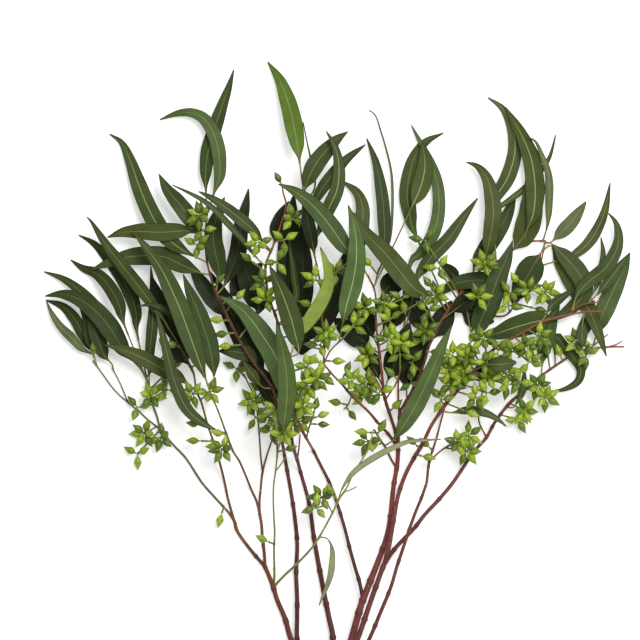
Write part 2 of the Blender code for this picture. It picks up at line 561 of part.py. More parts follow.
def nearest(strips, point, back, apart=0.0):
    """Point on a spray's twigs near a plan point, moved back towards the root.

    apart moves it a little further back, so that no two roots on a twig coincide.
    """
    best = None
    for strip in strips:
        for place in np.linspace(0.0, strip.along[-1], int(strip.along[-1] / 2.0) + 2):
            x, y, _ = strip.at(place)
            gap = math.hypot(x - point[0], y - point[1])
            if best is None or gap < best[0]:
                best = (gap, strip, place)
    gap, strip, place = best
    return strip.at(max(1.5, min(place - back * gap, strip.along[-1] - 1.0) - apart)), gap


def smooth_run(points, count=12):
    """Dense points of a smooth curve through plan points."""
    padded = [2 * points[0] - points[1]] + list(points) + [2 * points[-1] - points[-2]]
    run = []
    for before, start, end, after in zip(padded, padded[1:], padded[2:], padded[3:]):
        for step in range(count):
            t = step / count
            run.append(0.5 * (2 * start + (end - before) * t + (2 * before - 5 * start + 4 * end - after) * t * t
                              + (3 * start - before - 3 * end + after) * t ** 3))
    run.append(points[-1])
    return np.array(run)


def lay_leaf(heights, twigs, leaf, number):
    """A leaf from the nearest twig to its tip: petiole, then a blade that swells and tapers."""
    width, tilt, points = leaf
    points = [plan(point) for point in points]
    (root_x, root_y, root_z), gap = nearest(twigs, points[0], LEAF_ROOT_BACK, ROOT_STEP * (number % 7))
    drawn = points[0]
    if gap < ROOT_AT_TWIG:
        points = points[1:]
    run = smooth_run([np.array((root_x, root_y))] + points)
    along = np.concatenate(((0.0,), np.cumsum(np.hypot(*np.diff(run, axis=0).T))))
    length = along[-1]
    reach = math.hypot(drawn[0] - root_x, drawn[1] - root_y)
    petiole = min(max(PETIOLE_LENGTH, reach), PETIOLE_SHARE * length)
    blade = length - petiole
    stations = NARROW_STATIONS if width < NARROW_LEAF else BLADE_STATIONS
    places = [0.0, petiole] + [petiole + share * blade for share, _ in stations] + [length]
    widths = [PETIOLE_WIDTH, PETIOLE_WIDTH] + [share * width for _, share in stations] + [LEAF_TIP_WIDTH]
    depths = [PETIOLE_THICKNESS, PETIOLE_THICKNESS] + [BLADE_THICKNESS] * (len(places) - 2)
    angle = math.radians(tilt)
    half = np.array(widths) / 2.0
    rise = half * math.sin(angle)
    rise[:2] = 0.0
    middle = np.stack((np.interp(places, along, run[:, 0]), np.interp(places, along, run[:, 1])), axis=1)
    strip = Strip(middle, half * math.cos(angle), rise, np.array(depths) / 2.0, np.array(depths) / 2.0)
    share = np.array(places) / length
    natural = root_z * (1.0 - share) + LEAF_ARCH * np.sin(math.pi * share) * (1.0 - 0.4 * share)
    natural = np.maximum(natural, strip.down + np.abs(rise))
    natural[0] = root_z
    strip.lay(heights, natural, LEAF_BEND, LEAF_ROOT_ZONE, LEAF_EASE)
    return strip


def axis_frame(axis, turn):
    """Two directions square to an axis, turned about it."""
    across = axis.orthogonal().normalized()
    other = axis.cross(across)
    return (across * math.cos(turn) + other * math.sin(turn), other * math.cos(turn) - across * math.sin(turn))


def bud_directions(count, axis, turn):
    """Directions of an umbel's buds round the line of its stalk, the first three widest apart."""
    across, other = axis_frame(axis, turn)
    directions = []
    for index in range(count):
        opening, around = BUD_PLACES[index]
        opening, around = math.radians(opening), math.radians(around)
        directions.append(axis * math.cos(opening)
                          + (across * math.cos(around) + other * math.sin(around)) * math.sin(opening))
    return directions


def lay_umbel(heights, twigs, umbel, number):
    """An umbel's hub above the nearest twig, clear of what lies below its buds."""
    x, y, count = umbel
    centre = plan((x, y))
    (root_x, root_y, root_z), _ = nearest(twigs, centre, UMBEL_ROOT_BACK, ROOT_STEP * (number % 5))
    outward = Vector((centre[0] - root_x, centre[1] - root_y, 0.0))
    outward = outward.normalized() if outward.length > 0.5 else Vector((0.0, 1.0, 0.0))
    axis = (outward * AXIS_OUT + Vector((0.0, 0.0, AXIS_UP))).normalized()
    directions = bud_directions(count, axis, 0.7 * x + 1.3 * y)
    reach = PEDICEL_LENGTH + BUD_LENGTH
    if count < 3:
        directions = [outward + Vector((0.0, 0.0, rise)) for rise in LONE_BUD_RISES[:count]]
        directions = [direction.normalized() for direction in directions]
        away = math.hypot(centre[0] - root_x, centre[1] - root_y)
        centre = centre - np.array(outward[:2]) * LONE_BUD_BACK * min(reach, away)
    xs, ys, lows, highs = [], [], [], []
    for direction in directions:
        for share in np.linspace(0.0, 1.0, 9):
            swell = BUD_RADIUS * max(0.3, math.sin(math.pi * min(1.0, max(0.0, 1.1 * share - 0.1))))
            for angle in np.linspace(0.0, 2.0 * math.pi, 7)[:-1]:
                xs.append(centre[0] + direction.x * reach * share + swell * math.cos(angle))
                ys.append(centre[1] + direction.y * reach * share + swell * math.sin(angle))
                lows.append(direction.z * reach * share - swell)
                highs.append(direction.z * reach * share + swell)
    xs, ys, lows, highs = (np.array(values) for values in (xs, ys, lows, highs))
    near_root = np.hypot(xs - root_x, ys - root_y) < ROOT_AT_TWIG
    needed = (heights.needed(xs, ys, heights.other, heights.blades) - lows)[~near_root].max()
    hub_z = max(root_z + HUB_RISE, needed)
    stalk = Strip((np.array((root_x, root_y)), centre + np.array((0.01, 0.0))), (PEDUNCLE_RADIUS,) * 2,
                  (0.0, 0.0), (PEDUNCLE_RADIUS,) * 2, (PEDUNCLE_RADIUS,) * 2)
    over = stalk.place > ROOT_AT_TWIG
    if over.any():
        lack = (heights.needed(stalk.x, stalk.y, heights.other) + PEDUNCLE_RADIUS - root_z)[over]
        hub_z = max(hub_z, root_z + (lack / np.maximum(stalk.place[over] / stalk.along[-1], 0.5)).max())
    stalk.z = np.array((root_z, hub_z))
    heights.add(heights.buds, stalk.x, stalk.y, stalk.blend(stalk.z) + PEDUNCLE_RADIUS)
    heights.add(heights.buds, xs, ys, hub_z + highs)
    return Vector((root_x, root_y, root_z)), Vector((centre[0], centre[1], hub_z)), axis, directions


def new_object(name, points, faces):
    mesh = bpy.data.meshes.new(name)
    mesh.from_pydata([Vector(point) * MM for point in points], [], faces)
    mesh.update()
    piece = bpy.data.objects.new(name, mesh)
    bpy.context.scene.collection.objects.link(piece)
    return piece


def ring_faces(rings, sides):
    """Triangles between rings of equal count, and flat ends."""
    faces = [tuple(reversed(range(sides)))]
    for ring in range(rings - 1):
        for side in range(sides):
            following = (side + 1) % sides
            a, b = ring * sides + side, ring * sides + following
            c, d = a + sides, b + sides
            faces.append((a, b, d))
            faces.append((a, d, c))
    faces.append(tuple((rings - 1) * sides + side for side in range(sides)))
    return faces


def stem_object(name, strip, sides):
    points = []
    middle = [Vector((x, y, z)) for (x, y), z in zip(strip.middle, strip.z)]
    for index, centre in enumerate(middle):
        side = Vector((strip.side[index][0], strip.side[index][1], 0.0))
        before, after = max(0, index - 1), min(len(middle) - 1, index + 1)
        run = middle[after] - middle[before]
        forward = Vector((strip.heading[index][0], strip.heading[index][1], 0.0))
        forward.z = run.z / max(0.001, math.hypot(run.x, run.y))
        if index == 0 or index == len(middle) - 1:
            forward.z = 0.0
        forward.normalize()
        above = side.cross(forward)
        for step in range(sides):
            angle = 2.0 * math.pi * step / sides - math.pi / 2.0 - math.pi / sides
            points.append(centre + float(strip.radius[index]) * (math.sin(angle) * above
                                                                 - math.cos(angle) * side))
    return new_object(name, points, ring_faces(len(middle), sides))


def leaf_object(name, strip):
    points = []
    for index, (x, y) in enumerate(strip.middle):
        side = strip.side[index] * strip.half[index]
        rise = strip.tilt[index]
        low, high = strip.z[index] - strip.down[index], strip.z[index] + strip.up[index]
        points.append((x + side[0], y + side[1], low + rise))
        points.append((x - side[0], y - side[1], low - rise))
        points.append((x - side[0], y - side[1], high - rise))
        points.append((x + side[0], y + side[1], high + rise))
    faces = [(3, 2, 1, 0)]
    for ring in range(len(strip.middle) - 1):
        a, b, c, d = range(4 * ring, 4 * ring + 4)
        e, f, g, h = range(4 * ring + 4, 4 * ring + 8)
        faces += [(a, b, f), (a, f, e), (b, c, g), (b, g, f), (c, d, g), (d, h, g), (d, a, e), (d, e, h)]
    last = 4 * (len(strip.middle) - 1)
    faces.append((last, last + 1, last + 2, last + 3))
    return new_object(name, points, faces)


def arm(points, faces, corners, centre, direction, sections):
    """Grow a three-sided arm from a hub's face: sections of distance and radius along its line.

    A last radius of 0 closes the arm in a point, any other in a flat end.
    """
    ring = list(corners)
    for distance, radius in sections:
        start = len(points)
        if radius == 0.0:
            points.append(centre + direction * distance)
            for step in range(3):
                faces.append((ring[step], ring[(step + 1) % 3], start))
            return
        for corner in corners:
            outward = points[corner] - centre
            outward -= direction * outward.dot(direction)
            points.append(centre + direction * distance + outward.normalized() * radius)
        following = [start, start + 1, start + 2]
        for step in range(3):
            onward = (step + 1) % 3
            faces.append((ring[step], ring[onward], following[onward]))
            faces.append((ring[step], following[onward], following[step]))
        ring = following
    faces.append(tuple(ring))


def umbel_object(name, root, centre, axis, directions):
    """A stalk and its buds as one closed body: a small four-sided hub with an arm from each side."""
    turn = 0.0
    if len(directions) >= 3:
        across = directions[0] - axis * directions[0].dot(axis)
        turn = math.atan2(across.dot(axis_frame(axis, 0.0)[1]), across.dot(axis_frame(axis, 0.0)[0]))
    across, other = axis_frame(axis, turn)
    lean = math.acos(-1.0 / 3.0)
    points = [centre + axis * HUB_RADIUS]
    for step in range(3):
        around = math.pi + 2.0 * math.pi * step / 3.0
        points.append(centre + HUB_RADIUS * (axis * math.cos(lean) + math.sin(lean)
                                             * (across * math.cos(around) + other * math.sin(around))))
    sides = ((0, 2, 3), (0, 3, 1), (0, 1, 2))
    faces = []
    run = root - centre
    arm(points, faces, (3, 2, 1), centre, run.normalized(), ((run.length, PEDUNCLE_RADIUS),))
    bud = ((PEDICEL_LENGTH + BUD_WIDEST * BUD_LENGTH, BUD_RADIUS), (PEDICEL_LENGTH + BUD_LENGTH, 0.0))
    for index, corners in enumerate(sides):
        if index < min(len(directions), BUDS_IN_SOLID):
            arm(points, faces, corners, centre, directions[index], bud)
        else:
            faces.append(corners)
    return new_object(name, points, faces)


def material(name, colour, roughness):
    finish = bpy.data.materials.new(name)
    finish.use_nodes = True
    shader = finish.node_tree.nodes["Principled BSDF"]
    shader.inputs["Base Color"].default_value = tuple(channel ** 2.2 for channel in colour) + (1.0,)
    shader.inputs["Roughness"].default_value = roughness
    return finish


def fuse(name, pieces, finish):
    """One Boolean union of all the pieces, applied; the pieces are then removed."""
    body, rest = pieces[0], pieces[1:]
    body.name = name
    body.data.name = name
    group = bpy.data.collections.new(name + "_repeats")
    bpy.context.scene.collection.children.link(group)
    for piece in rest:
        bpy.context.scene.collection.objects.unlink(piece)
        group.objects.link(piece)
    union = body.modifiers.new("union", "BOOLEAN")
    union.operation = "UNION"
    union.operand_type = "COLLECTION"
    union.solver = "MANIFOLD"
    union.collection = group
    bpy.context.view_layer.update()
    fused = bpy.data.meshes.new_from_object(body.evaluated_get(bpy.context.evaluated_depsgraph_get()))
    body.modifiers.clear()
    body.data = fused
    for piece in rest:
        bpy.data.objects.remove(piece)
    bpy.data.collections.remove(group)
    body.data.materials.clear()
    body.data.materials.append(finish)


def lay_woody_base(heights):
    """All bare stems from the cut end to the feet of the sprays, by name."""
    laid = {}
    for name, parent, start, end, points in WOODY_STEMS:
        if parent is None:
            root_z = start / 2.0 * math.cos(math.pi / WOODY_SIDES)
        else:
            (x, y, root_z), _ = nearest([laid[parent]], plan(points[0]), 0.0)
            points = (sheet((x, y)),) + points[1:]
        laid[name] = lay_stem(heights, points, start, end, WOODY_SIDES, root_z, 0.0)
    return laid


def sheet(strip_point):
    """Millimetres from the part's origin as a plan point of the sheet."""
    return (strip_point[0] + SHEET_CENTRE[0], SHEET_CENTRE[1] - strip_point[1])


def lay_spray(heights, foot, stems, under, below, umbels, above):
    """Everything of one spray, on the foot that the woody base ends in."""
    turn = foot.heading[-1]
    drawn = [stem_strip(points, start, end, TWIG_SIDES)[0] for _, start, end, points in stems]
    lowest_leaves = [lay_leaf(heights, drawn, leaf, number) for number, leaf in enumerate(under)]
    twigs = {}
    for name, start, end, points in stems:
        if not twigs:
            points = (sheet(foot.middle[-1]),) + points[1:]
            twigs[name] = lay_stem(heights, points, start, end, TWIG_SIDES, foot.z[-1], TWIG_END_RISE,
                                   JOINT_GAP, turn)
        else:
            (x, y, root_z), _ = nearest(twigs.values(), plan(points[0]), 0.0)
            points = (sheet((x, y)),) + points[1:]
            twigs[name] = lay_stem(heights, points, start, end, TWIG_SIDES, root_z, TWIG_END_RISE)
    strips = list(twigs.values())
    for leaf in lowest_leaves:
        leaf.z[0] = nearest(strips, leaf.middle[0], 0.0)[0][2]
    lower_leaves = [lay_leaf(heights, strips, leaf, number) for number, leaf in enumerate(below)]
    buds = [lay_umbel(heights, strips, umbel, number) for number, umbel in enumerate(umbels)]
    upper_leaves = [lay_leaf(heights, strips, leaf, number) for number, leaf in enumerate(above, len(below))]
    return strips, lowest_leaves + lower_leaves + upper_leaves, buds


def main():
    for piece in list(bpy.data.objects):
        bpy.data.objects.remove(piece)
    bark = material(*BARK)
    leaf = material(*LEAF)
    heights = Heights()
    base = lay_woody_base(heights)
    heights.next_spray()
    stems = [stem_object("base_" + name, strip, WOODY_SIDES) for name, strip in base.items()]
    fuse("woody_base", stems, bark)
    for name, stems, below, umbels, above in SPRAYS:
        under = UNDER_LEAVES.get(name, ())
        twigs, leaves, buds = lay_spray(heights, base[name], stems, under, below, umbels, above)
        heights.next_spray()
        pieces = [stem_object(name + "_twig", strip, TWIG_SIDES) for strip in twigs]
        pieces += [leaf_object(name + "_leaf", strip) for strip in leaves]
        pieces += [umbel_object(name + "_umbel", *umbel) for umbel in buds if len(umbel[3]) >= FEWEST_BUDS]
        fuse(name, pieces, leaf)


main()
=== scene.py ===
"""Looks of a cut eucalyptus branch with seed buds, seen from straight above as it lies.

The leaves, buds and stems are laid in the same order and by the same rule as the solids, so that
each fine piece lies where its solid does. Plan points are millimetres on a sheet seen from above,
x to the right and y down. SHEET_CENTRE is the part's origin, and +Z is up from the surface.
"""

import math

import bpy
import numpy as np
from mathutils import Matrix, Vector


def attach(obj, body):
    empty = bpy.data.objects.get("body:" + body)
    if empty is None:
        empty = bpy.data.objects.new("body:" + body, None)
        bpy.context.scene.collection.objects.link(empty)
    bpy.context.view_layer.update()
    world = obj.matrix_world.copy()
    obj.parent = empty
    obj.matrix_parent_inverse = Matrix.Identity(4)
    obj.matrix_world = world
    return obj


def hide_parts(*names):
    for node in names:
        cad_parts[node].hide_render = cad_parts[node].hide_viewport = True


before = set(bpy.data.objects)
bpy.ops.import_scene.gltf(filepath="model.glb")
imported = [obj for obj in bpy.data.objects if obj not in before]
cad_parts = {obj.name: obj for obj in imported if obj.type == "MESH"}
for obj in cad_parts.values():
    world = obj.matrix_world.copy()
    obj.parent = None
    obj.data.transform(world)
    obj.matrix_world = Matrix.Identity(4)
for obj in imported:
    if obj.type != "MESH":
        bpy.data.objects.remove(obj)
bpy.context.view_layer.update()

MM = 0.001

# Sizes in millimetres, as in the solids
SHEET_CENTRE = (337.1, 410.6)
WOODY_SIDES = 5
TWIG_SIDES = 4
JOINT_GAP = 0.35
BLADE_THICKNESS = 0.8
PETIOLE_WIDTH = 1.9
PETIOLE_THICKNESS = 1.7
PETIOLE_LENGTH = 14.0
PETIOLE_SHARE = 0.6
LEAF_TIP_WIDTH = 1.0
BUD_LENGTH = 14.6
BUD_RADIUS = 4.2
PEDICEL_LENGTH = 3.2
PEDUNCLE_RADIUS = 0.9

# How things lie on each other: millimetres, shares and counts
GRID_REACH = 400.0
CELL = 1.5
CLEARANCE = 0.8
SAMPLE_STEP = 1.1
STEM_BEND = 500.0
LEAF_BEND = 140.0
STEM_ROOT_ZONE = 9.0
LEAF_ROOT_ZONE = 9.0
STEM_EASE = 40.0
LEAF_EASE = 16.0
LAY_ROUNDS = 6
LEAST_LEVER = 0.5
LEAF_ARCH = 4.0
LEAF_DROOP = 0.4
ROOT_STEP = 0.43
LEAF_ROOT_PLACES = 7
UMBEL_ROOT_PLACES = 5
NEAREST_STEP = 2.0
ROOT_FROM_START = 1.5
ROOT_FROM_END = 1.0
CURVE_STEPS = 12
OWN_ZONE = 22.0
TWIG_MARGIN = 6.0
TWIG_END_RISE = 2.0
LEAF_ROOT_BACK = 0.5
UMBEL_ROOT_BACK = 0.35
ROOT_AT_TWIG = 4.0
HUB_RISE = 4.0
AXIS_OUT = 0.42
AXIS_UP = 0.8
LONE_BUD_RISES = (0.33, 0.89)
LONE_BUD_BACK = 0.5
LEAST_STALK = (0.01, 0.0)
LEAST_AWAY = 0.5
LEAST_LENGTH = 1e-6

# How an umbel turns with its plan point, in radians a millimetre, and where a bud is felt for
UMBEL_TURN = (0.7, 1.3)
BUD_SAMPLES_ALONG = 9
BUD_SAMPLES_AROUND = 6
BUD_STRETCH = 1.1
PEDICEL_SHARE = 0.1
PEDICEL_SWELL = 0.3

# Blade stations: share of the blade's length, share of its full width
BLADE_STATIONS = ((0.1, 0.74), (0.3, 1.0), (0.58, 0.88), (0.82, 0.5))
NARROW_STATIONS = ((0.14, 0.78), (0.4, 1.0), (0.74, 0.6))
NARROW_LEAF = 12.5

# Where an umbel's buds stand: degrees off the stalk's line, degrees round it
BUD_PLACES = ((82, 0), (82, 120), (82, 240), (62, 62), (60, 185), (66, 298), (92, 58), (96, 182), (90, 305))

# Numbers from 0 to 1 that look random but are the same on each run
HASH_WEIGHTS = (12.9898, 78.233, 37.719)
HASH_SCALE = 43758.5453
BLADE_SEED = 3
UMBEL_SEED = 7
BUD_SIZE_SEED = 3

# Fine leaves: sizes in millimetres, counts, and how far the outline is rounded
LEAF_THICKNESS = 0.5
LEAF_ACROSS = 6
LEAF_ALONG = 34
LEAF_FOLD = 0.5
FOLD_MIDDLE = 0.6
LEAF_WAVE = 0.35
LEAF_WAVE_LENGTH = 31.0
WAVE_OFFSET = 1.3
FULL_HALF_WIDTH = 8.0
MOST_FOLD = 1.2
BLADE_START = 0.8
OUTLINE_ROUNDING = 0.03
BLADE_ROUNDING = 4
RUN_ROUNDING = 2
LOWEST_POINT = 0.3
LEAF_SMOOTHING = 50.0
TONE_RANGE = (0.94, 0.12)
PETIOLE_UNDER_BLADE = 9.0
PETIOLE_RINGS = 8
PETIOLE_SINK = 0.25
PETIOLE_RADII = (0.95, 0.7, 0.3)
PETIOLE_TINT = 0.5
FAR_FROM_RIB = 50.0

# Fine stems: counts, sizes in millimetres, and how far nodes and scars swell and darken
TUBE_SIDES = 9
TUBE_STEP = 2.6
FEWEST_RINGS = 6
FEWEST_HEIGHTS = 40
STEM_ROUNDING = 5
END_RING = 1e-4
SEAM = 0.004
NODE_SWELL = 0.3
NODE_SPREAD = 1.8
NODE_SHADE = 0.25
SCAR_SPACING = 34.0
SCARRED_STEM = 2.9
FIRST_SCAR = 0.4
STEM_SMOOTHING = 60.0

# Fine buds: height and radius of each ring in millimetres, how the buds differ, and their stalks
BUD_SIDES = 7
BUD_PROFILE = (
    (0.5, 0.5), (2.8, 0.8), (4.4, 2.3), (6.6, 3.7), (9.2, 4.2), (10.0, 3.9), (12.6, 2.8), (15.8, 1.0),
)
BUD_POINT = 0.05
BUD_SIZES = (0.86, 0.14)
BUD_SMOOTHING = 70.0
STALK_RINGS = 6
STALK_SAG = 0.9
STALK_STATIONS = (0.0, 0.8, 1.0)
STALK_RADII = (0.85, 1.0, 1.35)
STALK_HEIGHT = 2.0

# Leaf colours as the photo shows them, and how strongly the pale midrib shows
LEAF_TONES = {
    # The shade tone is painted shade: leaves deep inside the heap are coloured near-black for the little
    # light that reaches them
    "shade": ("#161f08", 0.08),
    "dark": ("#323e19", 0.22),
    "olive": ("#464f23", 0.35),
    "ribbed_olive": ("#444e22", 0.85),
    "mid": ("#3c4921", 0.32),
    "ribbed": ("#3e4d23", 0.75),
    "grey": ("#57623c", 0.3),
    "blue": ("#3c4c28", 0.32),
    "ribbed_blue": ("#4b5e35", 0.7),
    "lit": ("#495c2c", 0.35),
    "ribbed_lit": ("#506737", 0.85),
    "pale": ("#9a9c74", 0.3),
    "bright": ("#587028", 0.5),
    "ribbed_bright": ("#49612f", 0.9),
    "lime": ("#87993e", 0.15),
}

# Stem colours from root to tip, by woody stem and by spray
WOODY_COLOURS = {
    "trunk": ("#562d25", "#582d26"),
    "left_leader": ("#582922", "#6e3a27"),
    "left_fork": ("#623526", "#714e31"),
    "left_inner_fork": ("#6e3b27", "#7b5331"),
    "twig_green_upright": ("#716c32", "#7b7e2e"),
    "twig_green_cross": ("#716c32", "#7b7e2e"),
    "spray_upper_left": ("#4c2325", "#643028"),
    "spray_centre_left": ("#4c2325", "#643028"),
    "right_leader": ("#622d2a", "#7b3e31"),
    "spray_centre": ("#4c2325", "#643028"),
    "spray_right_far": ("#622d2c", "#783e34"),
    "spray_right_low": ("#632d2c", "#6e382e"),
    "twig_right_low": ("#5e2d29", "#713b2e"),
}
TWIG_COLOURS = {
    "spray_far_left": ("#6b5a3e", "#6c7045"),
    "spray_left": ("#70462e", "#726c3c"),
    "spray_left_inner": ("#784e32", "#726c3c"),
    "twig_left_low": ("#784e32", "#7b7d39"),
    "spray_right_low": ("#6a352a", "#844c2a"),
    "twig_right_low": ("#6e3a2c", "#80542e"),
    "spray_right_top": ("#763e29", "#8d4b34"),
    "spray_middle": ("#763e29", "#84512a"),
    "spray_upper_left": ("#4e2823", "#6e3f2a"),
    "spray_centre_left": ("#6a3229", "#84512a"),
    "spray_right_far": ("#783e34", "#8d5134"),
    "spray_centre_top": ("#763e29", "#7b572c"),
    "spray_centre": ("#6a3229", "#80572a"),
    "twig_middle_low": ("#764b29", "#7b7d39"),
    "twig_green_upright": ("#82804a", "#86894a"),
    "twig_green_cross": ("#80854a", "#8e9456"),
}
PLAIN_STEM = ("#6e3a29", "#764b29")
PETIOLE_COLOUR = "#8f8550"
CUT_WOOD = "#c9ae86"
CUT_WOOD_SHARE = 0.84
CUT_HEART_SHARE = 0.1
CUT_DEPTH = 0.15
STALK_COLOURS = ("#86803a", "#84963a")
LONG_STALK = 13.0
LONG_STALK_COLOURS = ("#74442c", "#84963a")
BUD_COLOURS = ("#768c18", "#8aa221", "#9cb22e", "#678017", "#556e12")

# Places of the colours among a mix node's inputs and outputs
COLOUR_A = 6
COLOUR_B = 7
COLOUR_RESULT = 2

# Finish of each surface: roughness and shine
LEAF_FINISH = (0.5, 0.12)
BUD_FINISH = (0.36, 0.5)
BARK_FINISH = (0.55, 0.3)

# Lighter and darker clouds: size in millimetres, darkest and lightest
NOISE_DETAIL = 3.0
CLOUD_NOISE = (0.3, 0.7)
LEAF_CLOUD = (16.0, 0.86, 1.14)
BUD_CLOUD = (3.0, 0.85, 1.15)
BARK_CLOUD = (6.0, 0.78, 1.2)

# Patches of another colour: colour, size in millimetres, noise detail, noise range and most mix
LEAF_BLOOM = ("#56693f", 34.0, NOISE_DETAIL, (0.45, 0.75), 0.15)
LEAF_SPECK = ("#2f2a16", 2.4, 2.0, (0.7, 0.76), 0.5)
BARK_PORE = ("#c09a78", 1.6, 1.0, (0.68, 0.74), 0.45)

# Bands of another colour: colour, range of the value they follow, mix at both ends of it
LEAF_EDGE = ("#20260f", (0.15, 0.9), (0.6, 0.0))
LEAF_TIP = ("#4d4228", (0.95, 1.0), (0.0, 0.75))
# The bud's lower part turns towards the stalk's olive: the stalk's own colour, and painted shade at the
# bud's base
BUD_STALK_AND_BASE_SHADE = ("#6f7c2c", (3.0, 4.8), (0.5, 0.0))
BUD_RIM = ("#465c18", (0.1, 0.8), (0.4, 0.0))
BUD_RIM_HEIGHT = 9.6
# Paler cap tip: partly the cap's own colour, partly a painted highlight
BUD_CAP_TIP_AND_HIGHLIGHT = ("#8a8440", (15.2, 17.8), (0.0, 0.6))

# Veins and midrib, in millimetres from the rib and along the leaf
VEIN_COLOUR = "#788a50"
VEIN_SPACING = 3.2
VEIN_SLANT = 1.1
VEIN_UNREST = 2.5
VEIN_UNREST_SIZE = 9.0
VEIN_LINE = (0.72, 1.0, 0.0, 0.16)
VEIN_RELIEF = 0.6
RIB_COLOUR = "#a0ab70"
RIB_LINE = (0.25, 0.7, 1.0, 0.0)
RIB_FADE = (0.55, 1.0, 1.0, 0.1)
RIB_RELIEF = (0.0, 1.2, 0.0, 0.5)

# Fine relief: strength, depth in millimetres and, where it is noise, its size
LEAF_BUMP = (0.5, 0.4)
BUD_BUMP = (0.3, 0.2)
BUD_GRAIN = 1.2
BARK_BUMP = (0.4, 0.2)
BARK_GRAIN = 1.4

# Stage, in metres and watts, and the photo's frame in plan millimetres
TABLE_COLOUR = "#ffffff"
TABLE_ROUGHNESS = 0.9
TABLE_SHINE = 0.5
TABLE_GLOW = 0.38
TABLE_SIZE = 6.0
TABLE_LEVEL = -0.0002
ROOM_STRENGTH = 0.45
LAMP_PLACE = (0.7, 0.9, 2.2)
LAMP_SIZE = 1.2
LAMP_POWER = 45.0
CAMERA_LENS = 200.0
CAMERA_SENSOR = 36.0
PHOTO_CENTRE = (320, 320)
PHOTO_SIDE = 640.0
MEAN_LEAF_HEIGHT = 35.0

# Woody base, from the cut end up: name, parent, diameters at both ends, plan points.
# A stub with a spray's name is the short foot that the spray stands on.
WOODY_STEMS = (
    ("trunk", None, 12.0, 10.0, ((326, 762), (325, 748), (324, 730))),
    ("left_leader", "trunk", 7.5, 4.2, ((324, 733), (320, 710), (309, 682), (299, 660), (290, 640),
        (285, 622), (277, 603), (273, 590), (268, 577), (264, 568))),
    ("left_fork", "left_leader", 3.8, 3.2, ((264, 568), (250, 552), (237, 534), (234, 524))),
    ("spray_far_left", "left_fork", 2.6, 2.4, ((234, 524), (229, 516), (224, 510))),
    ("spray_left", "left_fork", 2.8, 2.6, ((234, 524), (230, 511), (227, 500))),
    ("left_inner_fork", "left_leader", 3.4, 3.0, ((264, 568), (264, 557), (262, 540), (261, 526),
        (259, 515))),
    ("spray_left_inner", "left_inner_fork", 2.6, 2.4, ((259, 515), (256, 503), (251, 492))),
    ("twig_left_low", "left_inner_fork", 2.6, 2.4, ((259, 515), (259, 503), (260, 492))),
    ("twig_green_upright", "left_leader", 2.6, 2.4, ((273, 590), (274, 580), (274, 572))),
    ("twig_green_cross", "left_leader", 2.8, 2.6, ((273, 590), (279, 583), (286, 576))),
    ("spray_upper_left", "left_leader", 5.0, 3.6, ((301, 664), (297, 642), (297, 620), (297, 600),
        (296, 575), (297, 545), (294, 515), (291, 495), (288, 478), (284, 456))),
    ("spray_centre_left", "trunk", 7.0, 3.6, ((324, 733), (329, 705), (333, 670), (333, 640), (329, 620),
        (325, 600), (320, 574), (314, 540), (309, 505), (300, 472))),
    ("right_leader", "trunk", 9.0, 4.2, ((324, 733), (332, 708), (342, 677), (352, 640), (361, 608),
        (366, 595), (372, 580), (380, 560), (387, 540), (391, 520), (394, 490), (398, 466), (399, 450))),
    ("spray_centre", "right_leader", 4.0, 3.0, ((363, 602), (360, 585), (355, 568), (350, 550),
        (345, 530), (338, 507), (330, 485), (320, 465), (313, 451))),
    ("spray_right_far", "right_leader", 6.0, 4.0, ((342, 677), (353, 652), (362, 628), (371, 602),
        (380, 577), (388, 554), (394, 522), (399, 496), (407, 474), (416, 457))),
    ("spray_right_low", "spray_right_far", 4.4, 3.8, ((383, 568), (395, 550), (414, 530), (425, 516),
        (440, 500), (452, 486), (460, 475))),
    ("twig_right_low", "right_leader", 4.4, 3.0, ((345, 668), (358, 658), (369, 640), (381, 612),
        (391, 588), (397, 568), (403, 550), (409, 532), (415, 515), (422, 498), (427, 484))),
    ("twig_middle_low", "right_leader", 2.4, 2.2, ((397, 470), (391, 459), (387, 450))),
    ("spray_centre_top", "right_leader", 3.4, 3.2, ((399, 450), (394, 442), (388, 434))),
    ("spray_middle", "right_leader", 3.6, 3.4, ((399, 450), (397, 436), (393, 423))),
    ("spray_right_top", "right_leader", 3.8, 3.4, ((399, 450), (399, 436), (400, 421))),
)

